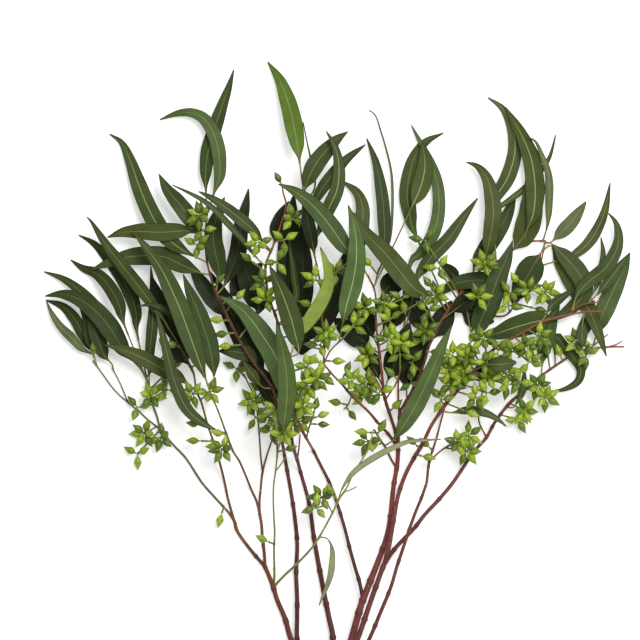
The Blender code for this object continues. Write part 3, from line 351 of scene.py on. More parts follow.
SPRAYS = (
    ("spray_far_left", (
        ("lead", 2.4, 2.0, ((224, 510), (212, 497), (200, 483), (185, 460), (172, 446), (160, 431),
            (155, 416), (150, 402), (148, 388), (142, 374), (137, 366))),
        ("low_side", 1.8, 1.5, ((160, 431), (147, 421), (137, 412), (126, 403), (113, 391), (101, 375),
            (91, 361))),
        ("tip_side", 1.6, 1.3, ((126, 403), (118, 383), (110, 368))),
    ), (
        (13, 8, "dark", ((90, 352), (80, 332), (72, 318), (60, 306), (43, 300))),
        (10, -10, "grey", ((91, 355), (80, 349), (70, 338), (58, 326), (50, 314), (44, 301))),
        (15, 6, "dark", ((91, 350), (89, 335), (86, 317), (76, 300))),
        (16, -8, "dark", ((110, 364), (103, 356), (96, 338), (86, 315))),
        (14, 10, "mid", ((128, 352), (105, 320), (82, 294), (62, 279), (41, 271))),
    ), (
        (136, 408, 3), (150, 397, 6), (166, 390, 4), (143, 434, 6), (136, 455, 3), (160, 438, 5),
        (168, 349, 3), (92, 349, 1), (178, 362, 2), (220, 519, 1),
    ), (
        (15, 8, "dark", ((135, 330), (135, 315), (130, 297), (120, 277), (105, 257), (92, 243), (76, 234))),
        (21, -8, "dark", ((137, 366), (124, 352), (110, 329), (95, 311), (78, 299), (60, 294), (43, 296))),
        (15, 10, "dark", ((123, 322), (119, 306), (112, 292), (103, 280), (93, 272), (81, 268), (68, 259))),
        (12, -12, "mid", ((149, 384), (148, 368), (149, 350), (151, 330), (152, 305), (151, 285),
            (149, 265))),
    )),
    ("twig_left_low", (
        ("lead", 2.4, 1.5, ((260, 492), (262, 474), (266, 458), (272, 440), (277, 425))),
        ("side", 1.8, 1.4, ((262, 474), (260, 455), (259, 440), (257, 415), (256, 402), (248, 385),
            (243, 374))),
    ), (), (
        (252, 402, 7), (255, 418, 3), (268, 417, 7), (262, 431, 1), (236, 369, 4), (272, 432, 4),
        (262, 392, 3),
    ), ()),
    ("spray_right_low", (
        ("lead", 3.8, 1.6, ((460, 475), (471, 458), (480, 447), (488, 438), (497, 422), (512, 403),
            (530, 388), (541, 378), (546, 374), (562, 363), (578, 353), (592, 349), (613, 347),
            (627, 347))),
        ("side", 2.0, 1.4, ((488, 438), (480, 421), (482, 402), (484, 391))),
        ("tip_upper", 1.4, 1.2, ((592, 349), (602, 341), (611, 334))),
        ("tip_lower", 1.4, 1.2, ((608, 347), (618, 345), (625, 341))),
    ), (
        (14, 10, "mid", ((580, 351), (582, 338), (590, 320), (597, 300))),
        (12, -10, "mid", ((557, 362), (557, 336), (566, 347), (576, 358), (583, 370), (580, 382),
            (566, 390), (551, 392))),
        (16, 8, "lit", ((544, 374), (545, 352), (549, 338), (553, 322), (562, 300))),
        (20, 7, "lit", ((598, 346), (600, 330), (606, 312), (616, 290), (626, 270), (633, 252))),
        (9, -14, "lit", ((515, 408), (521, 398), (525, 385), (526, 369))),
    ), (
        (539, 386, 6), (547, 398, 6), (525, 411, 7), (519, 420, 4), (548, 348, 2), (562, 356, 1),
        (578, 342, 5), (588, 355, 5),
    ), ()),
    ("twig_right_low", (
        ("lead", 3.0, 1.6, ((427, 484), (430, 462), (437, 440), (443, 418), (447, 404))),
        ("side", 2.0, 1.4, ((430, 462), (440, 453), (452, 445))),
    ), (), (
        (429, 447, 1), (458, 443, 7), (469, 436, 5), (467, 452, 5),
    ), ()),
    ("spray_right_top", (
        ("lead", 3.4, 1.6, ((400, 421), (401, 412), (407, 402), (416, 385), (425, 363), (430, 345),
            (440, 324), (457, 300), (479, 272), (502, 259), (517, 248), (531, 241), (548, 240))),
        ("inner", 2.2, 1.5, ((400, 421), (399, 400), (399, 381), (400, 360), (404, 340), (406, 318))),
        ("outer", 2.0, 1.4, ((457, 300), (480, 312), (505, 316), (518, 303), (533, 284), (539, 274),
            (543, 262), (547, 242))),
    ), (
        (28, 8, "dark", ((548, 243), (543, 252), (535, 265), (525, 283), (514, 303))),
        (18, -10, "dark", ((505, 284), (489, 281), (475, 280), (455, 284), (438, 296))),
        (17, 10, "mid", ((416, 234), (411, 215), (408, 195), (410, 175), (416, 155), (427, 140),
            (445, 131))),
        (14, -8, "lit", ((410, 267), (420, 254), (432, 237), (438, 220), (440, 200), (438, 180),
            (432, 162), (423, 144), (412, 123))),
        (18, 6, "dark", ((472, 279), (478, 262), (488, 247), (500, 230), (510, 212), (518, 190))),
        (16, -6, "ribbed_olive", ((490, 210), (499, 193), (508, 179), (514, 163), (517, 145), (514, 126),
            (505, 107), (489, 95))),
        (8, 30, "olive", ((495, 215), (510, 200), (527, 187), (541, 172), (552, 155), (558, 133))),
        (26, 9, "olive", ((507, 257), (517, 247), (526, 233), (532, 212), (532, 188), (528, 170))),
        (15, 8, "grey", ((552, 242), (562, 233), (573, 222), (582, 210), (589, 200))),
        (18, -8, "olive", ((485, 262), (488, 250), (492, 230), (494, 212), (492, 192), (487, 176),
            (478, 165), (467, 161))),
        (20, 8, "ribbed_olive", ((529, 227), (534, 215), (536, 200), (536, 182), (533, 160), (526, 140),
            (517, 122), (507, 105))),
        (9, -10, "grey", ((549, 238), (549, 222), (550, 200), (550, 180), (548, 168), (543, 155),
            (537, 141), (529, 136))),
        (18, -6, "olive", ((553, 245), (560, 258), (570, 275), (580, 292), (592, 312), (600, 333),
            (608, 357))),
        (24, 6, "blue", ((474, 335), (483, 318), (492, 297), (500, 275), (508, 258), (514, 240))),
        (15, -8, "mid", ((417, 280), (423, 269), (434, 254), (448, 240), (458, 226), (467, 213),
            (479, 197))),
        (14, 14, "shade", ((461, 288), (455, 275), (442, 262))),
        (18, -6, "shade", ((446, 318), (458, 308), (470, 300), (486, 297))),
    ), (
        (425, 240, 3), (439, 268, 3), (409, 345, 5), (412, 363, 3), (426, 331, 6), (436, 296, 6),
        (427, 281, 1), (427, 311, 3), (485, 264, 7), (478, 297, 5), (515, 277, 1), (511, 293, 4),
        (529, 290, 5), (547, 292, 7), (543, 310, 1), (429, 352, 1), (509, 305, 3), (412, 383, 3),
    ), (
        (12, 8, "olive", ((566, 258), (578, 253), (590, 243), (600, 228), (608, 208), (613, 181))),
        (20, 6, "mid", ((553, 243), (560, 250), (570, 260), (580, 272), (586, 286), (581, 300),
            (567, 312), (550, 322))),
    )),
    ("spray_middle", (
        ("lead", 3.4, 1.6, ((393, 423), (385, 398), (382, 375), (379, 350), (376, 322), (376, 300),
            (374, 288), (368, 275))),
        ("inner", 1.8, 1.4, ((385, 398), (378, 383), (371, 370))),
        ("outer", 1.8, 1.4, ((386, 400), (397, 382), (401, 366))),
        ("tip", 1.4, 1.2, ((374, 288), (377, 277), (379, 268))),
    ), (
        (3, 20, "grey", ((385, 255), (391, 236), (393, 205), (392, 172), (386, 145), (381, 128),
            (376, 113), (369, 108))),
        (14, -8, "dark", ((382, 264), (385, 240), (384, 210), (381, 185), (376, 160), (367, 136))),
        (20, 8, "ribbed_olive", ((414, 203), (420, 190), (424, 177), (426, 162), (423, 140))),
        (16, -9, "olive", ((359, 258), (359, 245), (362, 225), (363, 207), (357, 191), (341, 179))),
    ), (
        (366, 308, 6), (384, 304, 7), (390, 320, 3), (367, 261, 1), (387, 341, 5), (400, 343, 5),
        (400, 354, 3), (402, 299, 3), (368, 355, 6), (368, 384, 7), (365, 397, 5), (394, 376, 1),
        (394, 408, 2), (380, 391, 3),
    ), (
        (22, -7, "olive", ((423, 299), (414, 289), (402, 274), (386, 254), (368, 235), (354, 212))),
    )),
    ("spray_upper_left", (
        ("lead", 3.6, 1.6, ((284, 456), (281, 434), (277, 412), (274, 393), (267, 380), (255, 365),
            (242, 345), (230, 322), (222, 305), (215, 291), (207, 264), (205, 245), (205, 228),
            (207, 205))),
    ), (
        (26, -8, "shade", ((258, 312), (256, 298), (249, 280), (243, 262), (237, 246))),
        (18, 8, "shade", ((223, 287), (230, 272), (237, 254), (239, 238), (241, 222), (245, 205),
            (248, 187))),
        (20, 6, "dark", ((218, 289), (219, 272), (216, 256), (213, 240), (214, 225), (219, 210),
            (224, 196))),
        (21, -7, "mid", ((198, 272), (180, 264), (160, 256), (125, 257), (90, 269))),
        (19, 7, "ribbed", ((190, 254), (178, 247), (166, 237), (155, 222), (144, 200), (136, 180),
            (129, 160), (120, 141), (107, 132))),
        (19, 7, "olive", ((191, 231), (175, 231), (160, 232), (140, 231), (122, 232), (106, 237))),
        (18, -7, "mid", ((205, 245), (197, 229), (187, 214), (176, 200), (166, 188), (158, 173))),
        (16, 10, "mid", ((205, 186), (205, 170), (207, 152), (213, 130), (221, 105), (228, 85), (233, 67))),
        (15, -10, "lit", ((214, 190), (219, 175), (219, 160), (217, 145), (212, 130), (203, 117),
            (190, 111), (175, 112), (158, 118))),
        (12, 6, "olive", ((262, 387), (252, 374), (243, 361))),
    ), (
        (200, 216, 8), (197, 245, 4), (203, 230, 3), (241, 294, 1), (220, 320, 1), (223, 334, 1),
        (225, 346, 1), (216, 283, 1),
    ), (
        (25, -6, "ribbed_lit", ((286, 402), (281, 372), (273, 352), (264, 338), (253, 322), (239, 307),
            (219, 296))),
    )),
    ("spray_left", (
        ("lead", 2.6, 1.5, ((227, 500), (223, 480), (218, 460), (212, 440), (207, 425), (201, 403),
            (196, 391), (193, 373), (186, 358), (176, 341), (163, 320), (156, 307))),
    ), (
        (14, 8, "mid", ((170, 331), (158, 312), (141, 290), (130, 276), (118, 261), (105, 244),
            (90, 221), (85, 216))),
        (11, -12, "dark", ((196, 360), (185, 332), (168, 312), (152, 305), (138, 306))),
        (17, -6, "olive", ((196, 391), (179, 378), (160, 368), (140, 357), (120, 349), (104, 345))),
    ), (
        (193, 394, 5), (209, 392, 5), (194, 424, 1), (192, 441, 1), (176, 346, 2),
    ), ()),
    ("spray_left_inner", (
        ("lead", 2.4, 1.5, ((251, 492), (240, 463), (233, 451), (226, 432), (218, 410), (212, 396),
            (205, 376), (199, 356))),
    ), (
        (13, -10, "mid", ((226, 433), (208, 426), (188, 410), (176, 385), (169, 360), (163, 335),
            (156, 310))),
        (20, 8, "blue", ((214, 378), (213, 362), (209, 343), (203, 325), (196, 306), (189, 290),
            (183, 274))),
        (21, -7, "ribbed", ((207, 388), (202, 368), (192, 340), (182, 313), (172, 290), (162, 270),
            (148, 250), (132, 231))),
    ), (
        (223, 449, 6), (211, 446, 1), (224, 434, 1),
    ), ()),
    ("spray_centre_left", (
        ("lead", 3.6, 1.6, ((300, 472), (297, 460), (293, 445), (290, 420), (288, 395), (286, 370),
            (283, 345), (277, 320), (270, 300), (266, 280), (266, 264), (273, 246), (281, 224),
            (286, 206), (283, 192), (282, 184))),
        ("side", 2.0, 1.4, ((297, 460), (299, 447), (300, 435))),
    ), (
        (8, 30, "grey", ((255, 256), (243, 240), (232, 228), (220, 215), (208, 204), (193, 195),
            (172, 185))),
        (13, -8, "mid", ((263, 242), (252, 229), (239, 218), (225, 207), (211, 198), (199, 192))),
        (8, 8, "dark", ((284, 318), (296, 298), (294, 275), (291, 255), (288, 232))),
    ), (
        (281, 183, 1), (260, 243, 5), (246, 257, 1), (264, 283, 5), (266, 300, 5), (292, 219, 5),
        (277, 262, 3), (284, 240, 3), (299, 421, 8), (294, 407, 6), (281, 424, 6),
    ), ()),
    ("spray_right_far", (
        ("lead", 4.0, 1.6, ((416, 457), (423, 443), (431, 427), (440, 413), (447, 403), (460, 388),
            (475, 370), (487, 355), (500, 345), (520, 334), (540, 323), (555, 318), (568, 315),
            (585, 312), (608, 311))),
        ("tip_upper", 1.6, 1.2, ((568, 315), (576, 308), (586, 304), (600, 302))),
    ), (
        (10, -14, "grey", ((452, 413), (464, 411), (476, 411), (490, 415), (500, 421), (507, 427))),
        (8, 10, "mid", ((590, 303), (600, 280), (605, 255), (603, 236))),
        (11, -8, "mid", ((592, 306), (604, 288), (618, 270), (632, 252))),
        (13, 8, "mid", ((586, 313), (583, 324), (582, 336), (584, 347))),
        (15, -8, "mid", ((575, 309), (578, 294), (590, 281), (603, 271), (614, 257), (620, 240),
            (618, 223), (610, 212))),
        (10, 8, "dark", ((543, 322), (552, 306), (563, 297), (575, 289))),
    ), (
        (414, 443, 1), (425, 457, 1), (453, 356, 5), (450, 371, 7), (452, 384, 6), (467, 358, 6),
        (470, 345, 3), (483, 340, 7), (441, 400, 4), (476, 397, 5), (487, 393, 3), (473, 414, 1),
        (488, 376, 6), (505, 373, 5), (508, 385, 4), (519, 382, 3), (512, 352, 5), (526, 346, 7),
        (529, 362, 4), (538, 336, 5), (498, 350, 4), (464, 376, 6), (486, 362, 5),
    ), (
        (16, 8, "mid", ((476, 366), (486, 365), (500, 364), (516, 362))),
    )),
    ("spray_centre_top", (
        ("lead", 3.2, 1.8, ((388, 434), (378, 423), (368, 411), (352, 396), (342, 384), (333, 375),
            (323, 363))),
        ("top", 2.2, 1.4, ((323, 363), (324, 345), (322, 318), (321, 290), (316, 262), (309, 235),
            (304, 205), (303, 180))),
        ("side", 1.6, 1.3, ((323, 363), (331, 350), (345, 337))),
        ("low_side", 1.6, 1.3, ((352, 396), (348, 405), (344, 410))),
    ), (
        (2.4, 20, "olive", ((306, 204), (315, 186), (311, 160), (307, 141), (303, 120))),
        (19, 8, "bright", ((299, 157), (297, 142), (294, 126), (290, 108), (285, 92), (279, 77),
            (267, 59))),
        (19, 8, "mid", ((303, 200), (306, 186), (314, 167), (325, 152), (336, 140), (348, 131))),
        (13, 8, "dark", ((308, 216), (319, 194), (333, 174), (348, 158), (366, 144))),
        (15, -9, "ribbed", ((312, 246), (322, 225), (329, 208), (337, 190), (339, 168), (335, 147),
            (326, 131))),
        (14, 8, "shade", ((316, 262), (312, 240), (307, 215), (305, 192))),
    ), (
        (305, 303, 1), (325, 334, 8), (320, 345, 3), (317, 361, 1), (334, 361, 1), (336, 273, 4),
        (316, 280, 4), (348, 366, 1), (352, 381, 5), (339, 403, 1), (349, 411, 1), (353, 326, 4),
        (322, 375, 3),
    ), (
        (20, 8, "ribbed_blue", ((350, 259), (341, 242), (330, 226), (317, 210), (304, 198), (292, 190),
            (278, 184))),
        (21, -6, "ribbed_bright", ((343, 321), (347, 303), (352, 285), (356, 262), (356, 240),
            (353, 222), (348, 205))),
    )),
    ("spray_centre", (
        ("lead", 3.0, 1.5, ((313, 451), (306, 436), (300, 424), (295, 408), (291, 390), (289, 368),
            (290, 352))),
        ("side", 1.8, 1.4, ((306, 436), (310, 424), (314, 414))),
    ), (), (
        (307, 385, 8), (300, 394, 5), (316, 378, 6), (308, 366, 5), (319, 415, 1), (321, 423, 1),
        (316, 403, 1), (303, 405, 6),
    ), (
        (15, 8, "lime", ((297, 338), (306, 325), (317, 309), (325, 294), (329, 278), (325, 260),
            (320, 247))),
        (22, 8, "ribbed", ((299, 352), (296, 336), (290, 314), (281, 290), (270, 266))),
    )),
    ("twig_middle_low", (
        ("lead", 2.2, 1.5, ((387, 450), (379, 438), (374, 429))),
    ), (), (
        (368, 441, 5), (378, 445, 1), (364, 432, 1), (379, 431, 2),
    ), (
        (19, -7, "lit", ((384, 447), (393, 440), (404, 424), (418, 400), (431, 372), (441, 348),
            (452, 325))),
    )),
    ("twig_green_upright", (
        ("lead", 2.4, 1.6, ((274, 572), (274, 550), (275, 530), (274, 508), (274, 485), (276, 470),
            (279, 442))),
        ("side", 1.6, 1.3, ((276, 470), (281, 464), (285, 458))),
    ), (), (
        (265, 539, 1), (284, 432, 7), (289, 447, 1), (277, 408, 5),
    ), (
        (19, 8, "lit", ((284, 428), (286, 412), (288, 392), (287, 370), (283, 348), (277, 322))),
    )),
    ("twig_green_cross", (
        ("lead", 2.6, 1.4, ((286, 576), (297, 565), (310, 550), (319, 537), (332, 513), (338, 500),
            (346, 488), (352, 475), (360, 462), (367, 450), (371, 438), (373, 429))),
        ("low_side", 1.6, 1.3, ((332, 513), (328, 505), (325, 500))),
        ("side", 1.6, 1.3, ((344, 491), (351, 490), (357, 488))),
    ), (
        (7, 14, "pale", ((319, 537), (327, 538), (332, 548), (332, 565), (329, 582), (319, 608))),
        (7, -14, "pale", ((338, 500), (343, 486), (355, 470), (377, 455), (405, 442), (422, 440),
            (441, 439))),
    ), (
        (322, 497, 6), (331, 490, 1), (316, 507, 3),
    ), ()),
)

# Leaves that lie under the twigs of their own spray: they fill the dark inside of the branch, most of them
# in the shade tone, which is painted shade
UNDER_LEAVES = {
    "spray_left": (
        (20, 0, "shade", ((186, 356), (176, 336), (166, 315), (156, 294), (150, 275))),
        (20, 0, "shade", ((193, 374), (186, 362), (178, 350), (170, 336))),
    ),
    "spray_right_top": (
        (26, 6, "shade", ((405, 398), (408, 380), (414, 360), (421, 342), (426, 322))),
        (24, 0, "shade", ((430, 342), (424, 324), (415, 306), (404, 288))),
        (24, 0, "shade", ((432, 346), (438, 332), (445, 318), (453, 300))),
        (24, 0, "shade", ((452, 306), (464, 312), (478, 317), (496, 322))),
        (26, 0, "shade", ((454, 304), (464, 294), (476, 283), (490, 272))),
    ),
    "spray_middle": (
        (26, 0, "shade", ((379, 346), (370, 330), (358, 314), (343, 297))),
        (24, 0, "shade", ((380, 352), (366, 343), (350, 331), (333, 318))),
        (24, 0, "shade", ((378, 338), (388, 322), (400, 308), (412, 294))),
        (26, 0, "shade", ((384, 388), (394, 366), (402, 346), (410, 322))),
        (20, 0, "shade", ((383, 386), (377, 374), (370, 360), (362, 344))),
        (24, 0, "shade", ((377, 302), (386, 290), (396, 280), (410, 270))),
    ),
    "spray_upper_left": (
        (24, 6, "shade", ((270, 386), (258, 366), (246, 344), (234, 320), (223, 298), (208, 270))),
        (18, -8, "shade", ((232, 326), (216, 304), (204, 288), (194, 272), (188, 260))),
        (24, 4, "shade", ((222, 304), (234, 291), (247, 278), (262, 262))),
        (17, -6, "dark", ((262, 372), (250, 356), (236, 352), (218, 351))),
        (20, 0, "shade", ((277, 414), (272, 398), (264, 380), (252, 362))),
    ),
    "spray_centre_left": (
        (26, 0, "shade", ((272, 312), (283, 303), (288, 285), (289, 255), (290, 225), (294, 192))),
        (22, 6, "shade", ((278, 324), (290, 322), (301, 305), (303, 272), (302, 240), (303, 215))),
        (26, -6, "shade", ((281, 336), (299, 336), (321, 318), (335, 290), (347, 248))),
        (20, 0, "shade", ((271, 252), (276, 236), (282, 218), (289, 200))),
    ),
    "spray_centre_top": (
        (22, 0, "shade", ((324, 350), (314, 348), (303, 345), (292, 343))),
    ),
    "spray_right_far": (
        (24, 6, "ribbed", ((566, 316), (548, 319), (530, 323), (510, 329), (495, 334), (482, 334))),
        (22, 0, "shade", ((449, 400), (456, 382), (464, 366), (476, 348))),
        (22, 0, "shade", ((464, 384), (480, 376), (496, 366), (514, 356))),
    ),
}


def plan(point):
    """Plan point of the sheet as millimetres from the part's origin, y upwards."""
    return np.array((point[0] - SHEET_CENTRE[0], SHEET_CENTRE[1] - point[1]), dtype=float)


def cells(places):
    return ((places + GRID_REACH) / CELL).astype(int)


def distances(points):
    """Distance from a run's start to each of its plan points."""
    return np.concatenate(((0.0,), np.cumsum(np.hypot(*np.diff(points, axis=0).T))))


class Heights:
    """Height in millimetres of everything that lies there already, on a square grid.

    other holds the sprays laid before, which nothing may touch. blades and buds hold what the
    spray being laid has so far, which it may grow together with near its own twigs.
    """

    def __init__(self):
        count = int(2.0 * GRID_REACH / CELL)
        self.other = np.zeros((count, count))
        self.blades = np.zeros((count, count))
        self.buds = np.zeros((count, count))

    def needed(self, x, y, *maps):
        """Lowest underside allowed there: on the surface, or clear above what lies there."""
        column, row = cells(x), cells(y)
        below = np.max([field[column, row] for field in maps], axis=0)
        return np.where(below > 0.0, below + CLEARANCE, 0.0)

    def add(self, field, x, y, z):
        column, row = cells(x), cells(y)
        for step_x in (-1, 0, 1):
            for step_y in (-1, 0, 1):
                np.maximum.at(field, (column + step_x, row + step_y), z)

    def next_spray(self):
        """What the finished spray has now belongs to the others."""
        self.other = np.max([self.other, self.blades, self.buds], axis=0)
        self.blades[:] = 0.0
        self.buds[:] = 0.0


class Strip:
    """A stem or a leaf as sections along its middle line, each level across or tilted.

    half is the half width in plan, tilt the rise of the section's right edge, and down and up
    the depth below and above the middle line.
    """

    def __init__(self, middle, half, tilt, down, up):
        self.middle = np.array(middle)
        self.half = np.array(half, dtype=float)
        self.tilt = np.array(tilt, dtype=float)
        self.down = np.array(down, dtype=float)
        self.up = np.array(up, dtype=float)
        steps = np.diff(self.middle, axis=0)
        lengths = np.hypot(steps[:, 0], steps[:, 1])
        self.along = np.concatenate(((0.0,), np.cumsum(lengths)))
        heading = steps / lengths[:, None]
        turned = np.vstack((heading[:1], heading[:-1] + heading[1:], heading[-1:]))
        turned /= np.hypot(turned[:, 0], turned[:, 1])[:, None]
        self.heading = turned
        self.side = np.stack((turned[:, 1], -turned[:, 0]), axis=1)
        self.z = np.zeros(len(self.middle))
        self.nodes = []
        self.sample()

    def sample(self):
        """Close samples over the whole strip: segment, share along it, share across it."""
        rows = []
        for index in range(len(self.middle) - 1):
            run = self.along[index + 1] - self.along[index]
            width = 2.0 * max(self.half[index], self.half[index + 1])
            shares = np.linspace(0.0, 1.0, max(3, int(run / SAMPLE_STEP) + 2))
            across = np.linspace(-1.0, 1.0, max(3, int(width / SAMPLE_STEP) + 2))
            share, offset = (grid.ravel() for grid in np.meshgrid(shares, across))
            rows.append(np.stack((np.full(len(share), index, dtype=float), share, offset)))
        index, share, offset = np.hstack(rows)
        self.first = index.astype(int)
        self.share = share
        mix = self.blend
        left = self.middle + self.side * self.half[:, None]
        right = self.middle - self.side * self.half[:, None]
        self.x = mix(left[:, 0]) * (1.0 + offset) / 2.0 + mix(right[:, 0]) * (1.0 - offset) / 2.0
        self.y = mix(left[:, 1]) * (1.0 + offset) / 2.0 + mix(right[:, 1]) * (1.0 - offset) / 2.0
        self.rise = mix(self.tilt) * offset
        self.place = mix(self.along)

    def blend(self, values):
        return values[self.first] * (1.0 - self.share) + values[self.first + 1] * self.share

    def lay(self, heights, natural, bend, root_zone, ease):
        """Lower the strip from its root onto what lies there, no sharper than the bend radius."""
        under = self.blend(self.down) - self.rise
        strict = heights.needed(self.x, self.y, heights.other) + under
        for side in (-TWIG_MARGIN, TWIG_MARGIN) if bend == STEM_BEND else ():
            beside_x = self.x + side * self.blend(self.side[:, 0])
            beside_y = self.y + side * self.blend(self.side[:, 1])
            strict = np.maximum(strict, heights.needed(beside_x, beside_y, heights.other) + under)
        loose = heights.needed(self.x, self.y, heights.blades, heights.buds) + under
        needed = np.where(self.place > OWN_ZONE, np.maximum(strict, loose), strict)
        counts = self.place > root_zone
        place, needed = self.place[counts], needed[counts]
        self.z = np.array(natural, dtype=float)
        for index in range(1, len(self.z)):
            arch = needed - (self.along[index] - place) ** 2 / (2.0 * bend)
            start = min(1.0, self.along[index] / ease)
            self.z[index] += max(0.0, arch.max() - self.z[index]) * start
        for _ in range(LAY_ROUNDS):
            short = needed - self.blend(self.z)[counts]
            for index in range(1, len(self.z)):
                near = (self.first[counts] == index - 1) | (self.first[counts] == index)
                if not near.any() or short[near].max() <= 0.0:
                    continue
                lack = short[near].max()
                if index == 1:
                    share = np.where(self.first[counts] == 0, self.share[counts], 1.0)[near]
                    lack = (short[near] / np.maximum(share, LEAST_LEVER)).max()
                self.z[index] += lack
                short = needed - self.blend(self.z)[counts]
        heights.add(heights.blades, self.x, self.y, self.blend(self.z + self.up) + np.abs(self.rise))

    def at(self, place):
        """Plan point and height at a distance along the strip."""
        return tuple(np.interp(place, self.along, values) for values in (*self.middle.T, self.z))


def stem_strip(points, start, end, sides):
    middle = [plan(point) for point in points]
    along = distances(middle)
    radius = start / 2.0 + (end - start) / 2.0 * along / along[-1]
    low = radius * math.cos(math.pi / sides)
    return Strip(middle, radius, np.zeros(len(radius)), low, radius)


def lay_stem(heights, points, start, end, sides, root_z, end_rise, trim=0.0, turn=None):
    """A stem laid down; trim takes the joint's gap off its root, turn sets its root's direction."""
    strip = stem_strip(points, start, end, sides)
    if trim:
        strip.middle[0] += turn * trim
        strip.side[0] = (turn[1], -turn[0])
    natural = root_z + (strip.down + end_rise - root_z) * strip.along / strip.along[-1]
    natural = np.maximum(natural, strip.down)
    natural[0] = root_z
    strip.lay(heights, natural, STEM_BEND, STEM_ROOT_ZONE, STEM_EASE)
    return strip


def nearest(strips, point, back, apart=0.0):
    """Point on a spray's twigs near a plan point, moved back towards the root.

    apart moves it a little further back, so that no two roots on a twig coincide.
    """
    best = None
    for strip in strips:
        for place in np.linspace(0.0, strip.along[-1], int(strip.along[-1] / NEAREST_STEP) + 2):
            x, y, _ = strip.at(place)
            gap = math.hypot(x - point[0], y - point[1])
            if best is None or gap < best[0]:
                best = (gap, strip, place)
    gap, strip, place = best
    place = max(ROOT_FROM_START, min(place - back * gap, strip.along[-1] - ROOT_FROM_END) - apart)
    strip.nodes.append(place)
    return strip.at(place), gap


def smooth_run(points):
    """Dense points of a smooth curve through plan points."""
    padded = [2 * points[0] - points[1]] + list(points) + [2 * points[-1] - points[-2]]
    run = []
    for before, start, end, after in zip(padded, padded[1:], padded[2:], padded[3:]):
        bend = 2 * before - 5 * start + 4 * end - after
        twist = 3 * start - before - 3 * end + after
        for step in range(CURVE_STEPS):
            t = step / CURVE_STEPS
            run.append(0.5 * (2 * start + (end - before) * t + bend * t * t + twist * t ** 3))
    run.append(points[-1])
    return np.array(run)


def lay_leaf(heights, twigs, leaf, number):
    """A leaf from the nearest twig to its tip: petiole, then a blade that swells and tapers."""
    width, tilt, tone, points = leaf
    points = [plan(point) for point in points]
    apart = ROOT_STEP * (number % LEAF_ROOT_PLACES)
    (root_x, root_y, root_z), gap = nearest(twigs, points[0], LEAF_ROOT_BACK, apart)
    drawn = points[0]
    if gap < ROOT_AT_TWIG:
        points = points[1:]
    run = smooth_run([np.array((root_x, root_y))] + points)
    along = distances(run)
    length = along[-1]
    reach = math.hypot(drawn[0] - root_x, drawn[1] - root_y)
    petiole = min(max(PETIOLE_LENGTH, reach), PETIOLE_SHARE * length)
    blade = length - petiole
    stations = NARROW_STATIONS if width < NARROW_LEAF else BLADE_STATIONS
    places = [0.0, petiole] + [petiole + share * blade for share, _ in stations] + [length]
    widths = [PETIOLE_WIDTH, PETIOLE_WIDTH] + [share * width for _, share in stations] + [LEAF_TIP_WIDTH]
    depths = [PETIOLE_THICKNESS, PETIOLE_THICKNESS] + [BLADE_THICKNESS] * (len(places) - 2)
    angle = math.radians(tilt)
    half = np.array(widths) / 2.0
    rise = half * math.sin(angle)
    rise[:2] = 0.0
    middle = np.stack([np.interp(places, along, values) for values in run.T], axis=1)
    strip = Strip(middle, half * math.cos(angle), rise, np.array(depths) / 2.0, np.array(depths) / 2.0)
    share = np.array(places) / length
    natural = root_z * (1.0 - share) + LEAF_ARCH * np.sin(math.pi * share) * (1.0 - LEAF_DROOP * share)
    natural = np.maximum(natural, strip.down + np.abs(rise))
    natural[0] = root_z
    strip.lay(heights, natural, LEAF_BEND, LEAF_ROOT_ZONE, LEAF_EASE)
    strip.run = run
    strip.run_along = along
    strip.places = np.array(places)
    strip.tone = tone
    return strip


def axis_frame(axis, turn):
    """Two directions square to an axis, turned about it."""
    across = axis.orthogonal().normalized()
    other = axis.cross(across)
    return (across * math.cos(turn) + other * math.sin(turn),
            other * math.cos(turn) - across * math.sin(turn))


def bud_directions(count, axis, turn):
    """Directions of an umbel's buds round the line of its stalk, the first three widest apart."""
    across, other = axis_frame(axis, turn)
    directions = []
    for place in BUD_PLACES[:count]:
        opening, around = map(math.radians, place)
        directions.append(axis * math.cos(opening)
                          + (across * math.cos(around) + other * math.sin(around)) * math.sin(opening))
    return directions


